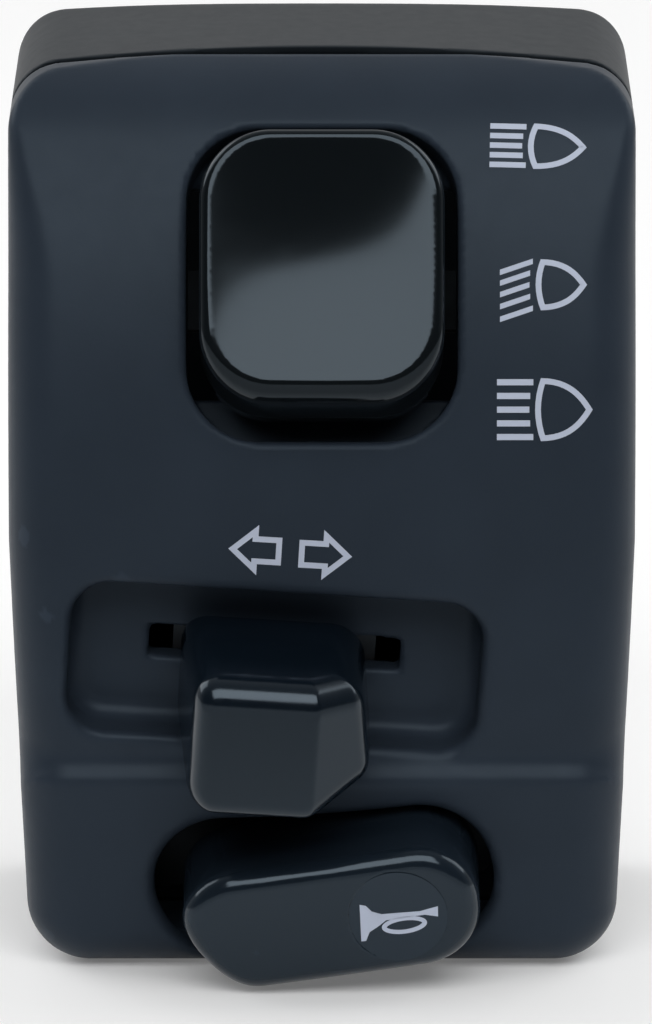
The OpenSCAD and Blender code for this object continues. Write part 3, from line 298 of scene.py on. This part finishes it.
def front_shell(x, y, z):
    h = housing(x, y, z)
    outer = np.minimum(cut(h, PARTING_Y + GROOVE_W - y, PARTING_R), np.maximum(h + GROOVE_D, PARTING_Y - y))
    shell = np.maximum(outer, -h - WALL)
    inner = seats(x, y, z, PARTING_Y, FRONT_FAR, BAR_R + WALL)
    for cx, cz in CLAMPS:
        inner = np.minimum(inner, rod(x - cx, z - cz, CLAMP_POST_R))
        inner = np.minimum(inner, np.maximum(rod(x - cx, z - cz, CLAMP_COLLAR_R), CLAMP_SEAT_Y - WALL - y))
    inner = np.maximum(np.maximum(h + GROOVE_D, PARTING_Y + INNER_BACK - y), inner)
    body = join(shell, inner, INNER_FILLET)
    bar = np.minimum(np.hypot(y, z) - BAR_R, np.maximum(np.abs(z) - BAR_R, y))
    body = cut(body, -bar, FRONT_BAR_EDGE)
    for cx, cz in CLAMPS:
        r = np.hypot(x - cx, z - cz)
        body = np.maximum(body, CLAMP_HOLE_R - r)
        body = cut(body, -np.maximum(r - CLAMP_HEAD_R, CLAMP_SEAT_Y - y), CLAMP_HEAD_EDGE)
    along = (y - ENTRY_Y) * sin(FRONT_LEAN) + (z - ENTRY_Z) * cos(FRONT_LEAN)
    return cut(body, GROMMET_R - np.hypot(x, along), GROMMET_EDGE)


def rocker_cap(x, y, z):
    lx, ly, lz = ROCKER.local(x, y, z)
    raked = ly - ROCKER_RAKE * np.maximum(lz, 0) / ROCKER_TOP
    side = rect(lx, raked, ROCKER_W, ROCKER_H, CAP_CORNER_R)
    half_w, half_h = ROCKER_W / 2, ROCKER_H / 2
    dish = CAP_DISH * (1 - (lx / half_w) ** 2) * (1 - (raked / half_h) ** 2)
    top = lz - ROCKER_TOP + np.where((np.abs(lx) < half_w) & (np.abs(raked) < half_h), dish, 0)
    edge_r = CAP_EDGE_R + CAP_EDGE_GROWTH * np.clip(-raked / half_h, 0, 1) ** 2
    outer = np.maximum(cut(side, top, edge_r), ROCKER_SKIRT - lz)
    hollow = rect(lx, ly, ROCKER_W - 2 * CAP_WALL, ROCKER_H - 2 * CAP_WALL, CAP_HOLLOW_R)
    body = np.maximum(outer, -np.maximum(hollow, lz - CAP_HOLLOW_TOP))
    for s in (-1, 1):
        ear = np.maximum(np.abs(lx - s * EAR_X) - EAR_HALF_T, np.abs(ly) - EAR_HALF_H)
        body = np.minimum(body, np.maximum(ear, span(lz, EAR_END, CAP_INNER_TOP)))
    hub = np.maximum(np.hypot(lx, ly) - HUB_R, span(lz, HUB_END, CAP_INNER_TOP))
    body = np.minimum(body, hub)
    body = np.maximum(body, PIVOT_HOLE_R - np.hypot(ly, lz + PIVOT_DEPTH))
    return np.maximum(body, -np.maximum(np.hypot(lx, ly) - HUB_BORE_R, lz - HUB_BORE_TOP))


def turn_knob(x, y, z):
    """A wedge with a round brow, a facet to the right of its front and one lower corner cut off."""
    lx, ly, lz = TURN.local(x, y, z)
    flank = np.minimum((KNOB_SHOULDER - lz) * KNOB_DRAW, KNOB_FLANK)
    left = -lx - KNOB_LEFT - flank
    right = (lx + KNOB_LEAN * (ly - KNOB_LEAN_Y) - KNOB_RIGHT) * SIDE_STEEP
    under = (-ly - KNOB_BASE - (lz - KNOB_UNDER) * KNOB_SWEEP) * UNDER_STEEP
    chin = (-ly - KNOB_CHIN + (lz - KNOB_SHOULDER) * CHIN_DRAW) * SIDE_STEEP
    notch = plane(lx, ly, lz, NOTCH_AT, NOTCH_WAY)
    facet = plane(lx, ly, lz, FACET_AT, FACET_WAY)
    nose = cut(cut(lz - KNOB_REACH, facet, FACET_R, FACET_COS), right, NOSE_RIGHT_R, NOSE_RIGHT_COS)
    nose = cut(cut(nose, left, NOSE_LEFT_R), ly - KNOB_TOP, NOSE_TOP_R)
    low = cut(cut(under, chin, CHIN_R, CHIN_COS), left, LOW_LEFT_R)
    low = cut(low, notch, NOTCH_R, NOTCH_COS)
    wedge = cut(cut(nose, low, LOW_R), KNOB_UNDER - lz, UNDER_R)
    blade_top = KNOB_UNDER + BLADE_INTO
    blade = block(lx, ly, lz - (blade_top + BLADE_END) / 2, BLADE_W, BLADE_H, blade_top - BLADE_END)
    groove = np.maximum(STEM_GROOVE_R - np.hypot(lx, ly), span(lz, *STEM_GROOVE))
    stem = np.maximum(np.maximum(rod(lx, ly, STEM_R), span(lz, STEM_END, BLADE_END + STEM_INTO)), -groove)
    return np.minimum(np.minimum(wedge, blade), stem)


def horn_button(x, y, z):
    lx, ly, lz = HORN.local(x, y, z)
    end = plane(lx, ly, lz, HORN_CUT_AT, HORN_CUT_WAY)
    side = cut(rect(lx, ly, HORN_W, HORN_H, HORN_CORNER_R), end, HORN_CUT_R, HORN_CUT_COS)
    top = lz - HORN_TOP + HORN_CROWN * (lx / HORN_CROWN_X) ** 2 + HORN_CROWN * (ly / HORN_CROWN_Y) ** 2
    slab = np.maximum(cut(side, top, HORN_EDGE_R), HORN_UNDER - lz)
    ring = np.hypot(lx - INSET_X, ly)
    slab = cut(slab, -np.maximum(ring - INSET_D / 2 + INSET_PLAY, HORN_TOP - INSET_DEPTH - lz), INSET_EDGE)
    stem = np.maximum(np.hypot(lx, ly) - HORN_STEM_R, span(lz, HORN_STEM_END, HORN_UNDER + 1))
    groove = np.maximum(HORN_GROOVE_R - np.hypot(lx, ly), span(lz, *HORN_GROOVE))
    return np.minimum(slab, np.maximum(stem, -groove))


# Meshes
def polygonise(f, low, high, step):
    """A closed mesh on f = 0: surface nets on a grid, then drawn onto the surface. Points and quads."""
    axes = [np.arange(a, b + step, step) for a, b in zip(low, high)]
    values = f(*np.meshgrid(*axes, indexing="ij"))
    inside = values < 0
    corners = [(i, j, k) for i in (0, 1) for j in (0, 1) for k in (0, 1)]
    sizes = [n - 1 for n in inside.shape]

    def part(a, c):
        return a[c[0]:c[0] + sizes[0], c[1]:c[1] + sizes[1], c[2]:c[2] + sizes[2]]

    count = sum(part(inside, c).astype(np.int8) for c in corners)
    active = (count > 0) & (count < 8)
    cells = np.argwhere(active)
    number = np.full(active.shape, -1)
    number[active] = np.arange(len(cells))
    at = {c: part(values, c)[active] for c in corners}
    total, hits = np.zeros((len(cells), 3)), np.zeros(len(cells))
    for a in corners:
        for axis in range(3):
            if a[axis]:
                continue
            b = tuple(1 if i == axis else a[i] for i in range(3))
            crossed = (at[a] < 0) != (at[b] < 0)
            share = np.where(crossed, at[a] / np.where(crossed, at[a] - at[b], 1), 0)
            point = np.array(a, float) + share[:, None] * (np.array(b) - np.array(a))
            total += np.where(crossed[:, None], point, 0)
            hits += crossed
    points = np.array(low) + step * (cells + total / hits[:, None])
    quads = []
    for axis in range(3):
        u, v = (axis + 1) % 3, (axis + 2) % 3
        first, second = [slice(None)] * 3, [slice(None)] * 3
        first[axis], second[axis] = slice(None, -1), slice(1, None)
        a, b = inside[tuple(first)], inside[tuple(second)]
        edges = np.argwhere(a != b)
        out = a[tuple(edges.T)]
        ring = []
        for du, dv in ((1, 1), (0, 1), (0, 0), (1, 0)):
            cell = edges.copy()
            cell[:, u] -= du
            cell[:, v] -= dv
            ring.append(number[tuple(cell.T)])
        ring = np.stack(ring, 1)
        quads.append(np.where(out[:, None], ring, ring[:, ::-1]))
    quads = np.concatenate(quads)
    for _ in range(4):
        slope = gradient(f, points)
        size = np.maximum((slope ** 2).sum(1), 0.05)
        move = f(*points.T) / size
        points = points - np.clip(move, -step, step)[:, None] * slope
    return points, quads


def gradient(f, points, h=0.02):
    slope = []
    for axis in range(3):
        d = np.zeros(3)
        d[axis] = h
        slope.append((f(*(points + d).T) - f(*(points - d).T)) / (2 * h))
    return np.stack(slope, 1)


def add_mesh(name, points, faces, material, smooth=True):
    mesh = bpy.data.meshes.new(name)
    mesh.from_pydata([tuple(p) for p in np.asarray(points) * MM], [], [tuple(map(int, f)) for f in faces])
    mesh.update()
    mesh.polygons.foreach_set("use_smooth", [smooth] * len(mesh.polygons))
    piece = bpy.data.objects.new(name, mesh)
    bpy.context.scene.collection.objects.link(piece)
    mesh.materials.append(material)
    return piece


def moulded(node, f, low, high, step, material, body):
    """A moulded piece on its node's body, in place of the CAD node, which it hides."""
    piece = add_mesh(node + "_moulding", *polygonise(f, low, high, step), material)
    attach(piece, body)
    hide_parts(node)


def spring(node, body, place, axis, fixed, side=0):
    """A coil in its node's own shape, or the one of two on one side, on its body."""
    cad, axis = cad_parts[node].data, np.array(axis, float)
    corners = np.round([np.array(v.co) / MM for v in cad.vertices], 4)
    points, index = np.unique(corners, axis=0, return_inverse=True)
    local = np.stack(place.local(*points.T), 1)
    used = local[:, 0] * side >= 0
    faces = [f for f in index.ravel()[[tuple(p.vertices) for p in cad.polygons]] if used[f].all()]
    number = np.cumsum(used) - 1
    along = local[used] @ axis
    length, end = np.ptp(along), along.max() if fixed > 0 else along.min()
    anchor = place.world(local[used].mean(0) + axis * (end - along.mean()))
    name = node + "_coil" + {0: "", -1: "_left", 1: "_right"}[side]
    piece = add_mesh(name, points[used], number[np.array(faces)], STEEL)
    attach(piece, body)
    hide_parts(node)
    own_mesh(piece)


# Signs: closed plates of ink in the u, v of the place that they are printed on, counter-clockwise
def inset(points, width):
    """The outline moved inwards by the width of a line."""
    points = np.asarray(points, float)
    ahead = np.roll(points, -1, 0) - points
    ahead /= np.linalg.norm(ahead, axis=1)[:, None]
    behind = np.roll(ahead, 1, 0)
    left, left_behind = ahead[:, ::-1] * (-1, 1), behind[:, ::-1] * (-1, 1)
    middle = left + left_behind
    return points + middle * (width / np.maximum((middle * left).sum(1), 0.2))[:, None]


def bend(*controls, count=12):
    """Points along a Bezier curve, without its end."""
    out = []
    for t in np.arange(count) / count:
        line = [np.array(c, float) for c in controls]
        while len(line) > 1:
            line = [a + (b - a) * t for a, b in zip(line, line[1:])]
        out.append(line[0])
    return out


def bars(ends, pitch, slope, line):
    """Five bars; the ends are where each stops on the right."""
    out = []
    for i, end in enumerate(ends):
        v = (2 - i) * pitch
        low = v - slope * end
        out.append([(0, low - line / 2), (end, v - line / 2), (end, v + line / 2), (0, low + line / 2)])
    return out


def lamp_outline(at, w, h):
    start, tip, top = (at + 0.1 * w, -h / 2), (at + w, 0), (at + 0.1 * w, h / 2)
    lower = bend(start, (at + 0.62 * w, -h / 2), (at + 0.84 * w, -0.24 * h), tip)
    upper = bend(tip, (at + 0.84 * w, 0.24 * h), (at + 0.62 * w, h / 2), top)
    return lower + upper + bend(top, (at - 0.1 * w, 0), start, count=8)


def arrow(way):
    half = [(-1.95, -1.05), (-0.2, -1.05), (-0.2, -1.9), (1.95, 0), (-0.2, 1.9), (-0.2, 1.05), (-1.95, 1.05)]
    return half if way > 0 else [(-u, v) for u, v in half][::-1]


def on_face(x0, rise, turn):
    """Where a sign's u, v lie on the round face, at x0 and at an angle up the drum."""
    c, s = cos(radians(turn)), sin(radians(turn))

    def place(u, v, h):
        a = radians(rise) + (u * s + v * c) / FACE_R
        return x0 + u * c - v * s, DRUM_Y - (FACE_R + h) * cos(a), BULGE_Z + (FACE_R + h) * sin(a)
    return place


def on_inset(u, v, h):
    return tuple(HORN.world([INSET_X + 0.05 + u, v - 0.45, HORN_TOP - 0.1 + h]))


def sign(name, body, place, filled=(), lined=(), line=0.42):
    points, faces = [], []
    for outer, inner in [(f, None) for f in filled] + [(f, inset(f, line)) for f in lined]:
        n, base = len(outer), len(points)
        for ring in [outer] if inner is None else [outer, inner]:
            points += [place(u, v, h) for h in (-SIGN_DEPTH, SIGN_RISE) for u, v in ring]
        made = []
        for i in range(n):
            j = (i + 1) % n
            made.append((i, j, n + j, n + i))
            if inner is not None:
                made.append((2 * n + j, 2 * n + i, 3 * n + i, 3 * n + j))
                made += [(n + i, n + j, 3 * n + j, 3 * n + i), (j, i, 2 * n + i, 2 * n + j)]
        if inner is None:
            made += [tuple(range(n))[::-1], tuple(range(n, 2 * n))]
        faces += [tuple(base + i for i in f) for f in made]
    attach(add_mesh(name, points, faces, INK, False), body)


# Materials: the part of a noise's range that is used, and the pointiness at which edges look rubbed
NOISE_LOW, NOISE_HIGH = 0.3, 0.7
RUB_FROM, RUB_TO = 0.52, 0.6


def nodes_of(name):
    material = bpy.data.materials.new(name)
    material.use_nodes = True
    tree = material.node_tree
    shader = tree.nodes["Principled BSDF"]
    return material, tree, shader


def noise(tree, scale, detail=4.0, rough=0.55, stretch=(1, 1, 1)):
    where = tree.nodes.new("ShaderNodeTexCoord")
    mapping = tree.nodes.new("ShaderNodeMapping")
    mapping.inputs["Scale"].default_value = stretch
    texture = tree.nodes.new("ShaderNodeTexNoise")
    texture.inputs["Scale"].default_value = scale
    texture.inputs["Detail"].default_value = detail
    texture.inputs["Roughness"].default_value = rough
    tree.links.new(where.outputs["Object"], mapping.inputs["Vector"])
    tree.links.new(mapping.outputs["Vector"], texture.inputs["Vector"])
    return texture.outputs["Fac"]


def ramp(tree, value, low, high, colours):
    node = tree.nodes.new("ShaderNodeValToRGB")
    node.color_ramp.elements[0].position, node.color_ramp.elements[1].position = low, high
    for element, colour in zip(node.color_ramp.elements, colours):
        element.color = (*colour, 1)
    tree.links.new(value, node.inputs["Fac"])
    return node.outputs["Color"]


def spread(tree, value, low, high, out_low, out_high):
    node = tree.nodes.new("ShaderNodeMapRange")
    for key, number in zip(("From Min", "From Max", "To Min", "To Max"), (low, high, out_low, out_high)):
        node.inputs[key].default_value = number
    tree.links.new(value, node.inputs["Value"])
    return node.outputs["Result"]


def bump(tree, shader, value, strength, depth):
    node = tree.nodes.new("ShaderNodeBump")
    node.inputs["Strength"].default_value = strength
    node.inputs["Distance"].default_value = depth
    tree.links.new(value, node.inputs["Height"])
    tree.links.new(node.outputs["Normal"], shader.inputs["Normal"])


def worn(tree, shader, plain, wear):
    """The plain colour, paler along sharp edges."""
    geometry = tree.nodes.new("ShaderNodeNewGeometry")
    mix = tree.nodes.new("ShaderNodeMix")
    mix.data_type = "RGBA"
    tree.links.new(spread(tree, geometry.outputs["Pointiness"], RUB_FROM, RUB_TO, 0, 1), mix.inputs["Factor"])
    tree.links.new(plain, mix.inputs["A"])
    mix.inputs["B"].default_value = (*wear, 1)
    tree.links.new(mix.outputs["Result"], shader.inputs["Base Color"])


def plastic(name, colour, rough, grain=1.0, gloss=0.5, wear=1.35, vary=1.0):
    """Moulded plastic: a fine spark-eroded grain, faint clouding and rubbed edges."""
    material, tree, shader = nodes_of(name)
    cloud = 0.14 * vary
    dark, pale = [c * (1 - cloud) for c in colour], [c * (1 + cloud) for c in colour]
    clouds = ramp(tree, noise(tree, 130), NOISE_LOW, NOISE_HIGH, (dark, pale))
    worn(tree, shader, clouds, [c * wear for c in colour])
    sheen = spread(tree, noise(tree, 900, 3), NOISE_LOW, NOISE_HIGH, rough - 0.04 * vary, rough + 0.05 * vary)
    tree.links.new(sheen, shader.inputs["Roughness"])
    bump(tree, shader, noise(tree, 5200, 2), 0.12 * grain, 0.00004)
    shader.inputs["Specular IOR Level"].default_value = gloss
    shader.inputs["Specular Tint"].default_value = (0.7, 0.86, 1.0, 1)
    return material


def shade_groove(material):
    """Painted shade along the parting groove, which takes the colour and the shine from its walls."""
    tree = material.node_tree
    shader = tree.nodes["Principled BSDF"]
    where = tree.nodes.new("ShaderNodeTexCoord")
    axes = tree.nodes.new("ShaderNodeSeparateXYZ")
    tree.links.new(where.outputs["Object"], axes.inputs["Vector"])
    edge = (PARTING_Y + GROOVE_W) * MM
    # Painted shade: 0 on the groove's walls and floor, rising to 1 just beyond the groove's edge along the object's
    # Y
    unshaded = spread(tree, axes.outputs["Y"], edge, edge + 0.00025, 0, 1)
    mix = tree.nodes.new("ShaderNodeMix")
    mix.data_type = "RGBA"
    # The near-black colour of the painted shade in the groove
    mix.inputs["A"].default_value = (0.002, 0.003, 0.004, 1)
    tree.links.new(unshaded, mix.inputs["Factor"])
    tree.links.new(shader.inputs["Base Color"].links[0].from_socket, mix.inputs["B"])
    tree.links.new(mix.outputs["Result"], shader.inputs["Base Color"])
    gloss = shader.inputs["Specular IOR Level"].default_value
    tree.links.new(spread(tree, unshaded, 0, 1, 0.03, gloss), shader.inputs["Specular IOR Level"])


def metal(name, colour, rough, stretch=(1, 1, 1)):
    """Plated or drawn metal with fine marks."""
    material, tree, shader = nodes_of(name)
    dark, pale = [c * 0.8 for c in colour], [min(1, c * 1.1) for c in colour]
    marks = ramp(tree, noise(tree, 700, 5, 0.6, stretch), NOISE_LOW, NOISE_HIGH, (dark, pale))
    worn(tree, shader, marks, [min(1, c * 1.2) for c in colour])
    sheen = spread(tree, noise(tree, 2400, 3, 0.5, stretch), NOISE_LOW, NOISE_HIGH, rough - 0.06, rough + 0.1)
    tree.links.new(sheen, shader.inputs["Roughness"])
    bump(tree, shader, noise(tree, 4200, 2, 0.5, stretch), 0.1, 0.00003)
    shader.inputs["Metallic"].default_value = 1.0
    return material


REAR = plastic("rear_plastic", (0.0215, 0.0300, 0.0430), 0.42, gloss=0.17, vary=0.5)
FRONT = plastic("front_plastic", (0.0115, 0.0148, 0.0185), 0.45, 0.4, 0.15, vary=0.35)
CAP = plastic("rocker_plastic", (0.0045, 0.0062, 0.0075), 0.1, 0.05, 0.36, vary=0.15)
KNOB = plastic("knob_plastic", (0.0035, 0.0068, 0.0115), 0.17, 0.2, 0.5, vary=0.4)
BUTTON = plastic("horn_plastic", (0.0085, 0.0138, 0.0210), 0.14, 0.2, 0.42, vary=0.4)
shade_groove(FRONT)
RUBBER = plastic("grommet_rubber", (0.010, 0.010, 0.011), 0.7, 2.0, 0.3)
NYLON = plastic("slider_nylon", (0.012, 0.012, 0.013), 0.45, 0.6)
PHENOLIC = plastic("base_phenolic", (0.004, 0.004, 0.004), 0.5, 1.0, 0.2)
INK = plastic("sign_ink", (0.51, 0.56, 0.68), 0.55, 0.5, 0.4, 1.05)
ZINC = metal("zinc_plate", (0.30, 0.305, 0.32), 0.38)
STEEL = metal("spring_steel", (0.45, 0.46, 0.48), 0.28, (1, 1, 6))
BRASS = metal("contact_brass", (0.72, 0.50, 0.22), 0.3)
BRIGHT = metal("bright_steel", (0.70, 0.71, 0.73), 0.18)

FINISH = {
    RUBBER: ["cable_grommet"],
    NYLON: ["headlight_contact_slider", "turn_carriage"],
    PHENOLIC: ["headlight_base", "turn_base", "horn_base"],
    ZINC: ["clamp_screws", "clamp_washers", "headlight_base_screws", "turn_base_screws", "horn_base_screws"],
    STEEL: ["turn_stem_clip", "horn_stem_clip"],
    BRASS: ["threaded_inserts", "rocker_detent_plunger", "headlight_contact_bridge", "headlight_terminals",
            "turn_contact_bridge", "turn_terminals", "horn_contact_bridge", "horn_contact_rivets"],
    BRIGHT: ["rocker_pivot_pins", "turn_detent_ball"],
    BUTTON: ["horn_inset"],
}
for material, names in FINISH.items():
    for name in names:
        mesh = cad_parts[name].data
        mesh.materials.clear()
        mesh.materials.append(material)

# Moulded pieces: the box, in millimetres, that the grid fills, and its step
SHELL_STEP, CAP_STEP = ((0.4, 0.19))
moulded("rear_shell", rear_shell, (-23.6, -28.8, -45.4), (23.6, -3.2, 24.1), SHELL_STEP,
        REAR, "housing")
moulded("front_shell", front_shell, (-23.6, -13.6, -45.4), (23.6, 16.2, 24.1), SHELL_STEP,
        FRONT, "housing")
moulded("rocker_cap", rocker_cap, (-9.9, -33.8, -5.5), (9.9, -12.5, 22.5), CAP_STEP,
        CAP, "rocker")
moulded("turn_knob", turn_knob, (-12.6, -38.2, -29.8), (5.6, -10.0, -13.2), CAP_STEP,
        KNOB, "turn_push")
moulded("horn_button", horn_button, (-11.6, -32.6, -46.2), (12.8, -12.5, -30.0), CAP_STEP,
        BUTTON, "horn")

# Springs: the body that each sits in, the place that it sits at, the way that the coil runs in its place, and
# which of its ends stays put
OUT, UP, ACROSS = (0, 0, 1), (0, 1, 0), (1, 0, 0)
spring("rocker_detent_spring", "rocker", ROCKER, OUT, 1)
spring("turn_cancel_spring", "turn_slide", TURN, OUT, -1)
spring("turn_detent_spring", "turn_slide", TURN, UP, -1)
spring("turn_centring_springs", "housing", TURN, ACROSS, -1, -1)
spring("turn_centring_springs", "housing", TURN, ACROSS, 1, 1)
spring("horn_return_spring", "housing", HORN, OUT, -1)

# Signs: where the beams' bars end, and the shapes of the horn
ENDS, LOW_ENDS = [2.65, 2.42, 2.36, 2.42, 2.65], [2.4, 2.2, 2.15, 2.2, 2.4]
sign("upper_beam_sign", "housing", on_face(12.28, 31.4, -1.5),
     bars(ENDS, 0.74, 0, 0.42), [lamp_outline(2.78, 4.3, 3.5)])
sign("low_beam_sign", "housing", on_face(12.98, 20.5, 0),
     bars(LOW_ENDS, 0.86, 0.34, 0.4), [lamp_outline(2.6, 3.75, 3.75)])
sign("lower_beam_sign", "housing", on_face(12.76, 11.0, 0),
     bars(ENDS, 1.0, 0, 0.45), [lamp_outline(2.78, 4.2, 4.6)])
sign("left_arrow_sign", "housing", on_face(-4.89, 0.17, -3.5), lined=[arrow(-1)])
sign("right_arrow_sign", "housing", on_face(0.26, -0.23, -3.5), lined=[arrow(1)])
HORN_SIGN = [(-2.98, -1.18), (-2.62, -1.19), (-2.25, -0.5), (-1.5, -0.1), (-0.9, 0.3), (1.98, 0.32), (2.92, 0.02),
             (3.04, 0.87), (1.67, 0.66), (-1.16, 0.85), (-1.83, 1.17), (-2.2, 1.72), (-2.63, 1.88)]
LOOP = [(0.37 + 1.68 * cos(a), -0.31 + 0.72 * sin(a)) for a in np.linspace(0, 2 * pi, 40, endpoint=False)]
sign("horn_sign", "horn", on_inset, [HORN_SIGN], [LOOP], 0.34)

# Stage
def lamp(name, where, aim, size, power, roll=0.0):
    data = bpy.data.lights.new(name, "AREA")
    data.shape, data.size, data.size_y = "RECTANGLE", size[0], size[1]
    data.energy = power
    light = bpy.data.objects.new(name, data)
    bpy.context.scene.collection.objects.link(light)
    light.location = where
    turn = (Vector(aim) - Vector(where)).to_track_quat("-Z", "Y")
    light.rotation_euler = turn.to_euler()
    light.rotation_euler.rotate_axis("Z", roll)


# The floor is greyer in front of the part, and glows faintly for the camera and for mirrors
FLOOR_Z, FLOOR_GLOW = BOTTOM_Z * MM - 0.0002, 0.14
GREY_TO, PALE_FROM = -0.075, -0.042
FLOOR_GREY, FLOOR_PALE = (0.45, 0.45, 0.45), (0.9, 0.9, 0.9)
bpy.ops.mesh.primitive_plane_add(size=6, location=(0, 0, FLOOR_Z))
floor = bpy.context.object
floor.name = "floor"
paper, paper_tree, paper_shader = nodes_of("floor_paper")
paper_shader.inputs["Roughness"].default_value = 0.9
paper_shader.inputs["Specular IOR Level"].default_value = 0.1
paper_shader.inputs["Emission Color"].default_value = (1, 1, 1, 1)
where = paper_tree.nodes.new("ShaderNodeTexCoord")
axes = paper_tree.nodes.new("ShaderNodeSeparateXYZ")
paper_tree.links.new(where.outputs["Object"], axes.inputs["Vector"])
near = spread(paper_tree, axes.outputs["Y"], GREY_TO, PALE_FROM, 0, 1)
tone = ramp(paper_tree, near, 0, 1, (FLOOR_GREY, FLOOR_PALE))
paper_tree.links.new(tone, paper_shader.inputs["Base Color"])
rays = paper_tree.nodes.new("ShaderNodeLightPath")
total = rays.outputs["Is Camera Ray"]
for name in ("Is Glossy Ray", "Is Transmission Ray"):
    added = paper_tree.nodes.new("ShaderNodeMath")
    added.operation, added.use_clamp = "ADD", True
    paper_tree.links.new(total, added.inputs[0])
    paper_tree.links.new(rays.outputs[name], added.inputs[1])
    total = added.outputs["Value"]
glow = spread(paper_tree, total, 0, 1, 0, FLOOR_GLOW)
paper_tree.links.new(glow, paper_shader.inputs["Emission Strength"])
floor.data.materials.append(paper)

# The sky brightens from behind the camera to the far side
SKY_WAY, SKY_FROM, SKY_TO, SKY_DIM, SKY_BRIGHT = (0, 0.97, 0.26), -0.35, 0.95, 0.04, 0.7
world = bpy.data.worlds.new("studio")
bpy.context.scene.world = world
world.use_nodes = True
sky = world.node_tree
where = sky.nodes.new("ShaderNodeTexCoord")
lift = sky.nodes.new("ShaderNodeVectorMath")
lift.operation = "DOT_PRODUCT"
lift.inputs[1].default_value = SKY_WAY
sky.links.new(where.outputs["Generated"], lift.inputs[0])
sky.nodes["Background"].inputs["Color"].default_value = (1, 1, 1, 1)
light = spread(sky, lift.outputs["Value"], SKY_FROM, SKY_TO, SKY_DIM, SKY_BRIGHT)
sky.links.new(light, sky.nodes["Background"].inputs["Strength"])
lamp("key", (0.03, -0.59, 0.55), (0, -0.02, 0.0), (0.80, 0.45), 4.3, radians(8))
lamp("left", (-0.80, 0.35, 0.62), (0, 0, 0), (0.8, 0.7), 4.2)
lamp("right", (0.80, 0.35, 0.62), (0, 0, 0), (0.8, 0.7), 3.8)

# Camera: as far off and as large as in the photo
VIEW_RISE, VIEW_AWAY = radians(15), 0.7
SENSOR, PIXELS_PER_MM, PHOTO_H = 36, 13.54, 1024
TARGET = Vector((0.0003, -0.020, -0.0102))
camera_data = bpy.data.cameras.new("camera")
camera = bpy.data.objects.new("camera", camera_data)
bpy.context.scene.collection.objects.link(camera)
back = Vector((0, -cos(VIEW_RISE), sin(VIEW_RISE)))
camera.location = TARGET + back * VIEW_AWAY
camera.rotation_euler = (-back).to_track_quat("-Z", "Y").to_euler()
camera_data.sensor_fit, camera_data.sensor_width = "AUTO", SENSOR
camera_data.lens = SENSOR * PIXELS_PER_MM * VIEW_AWAY / MM / PHOTO_H
camera_data.clip_start, camera_data.clip_end = 0.01, 20
bpy.context.scene.camera = camera
bpy.context.scene.view_settings.view_transform = "Standard"
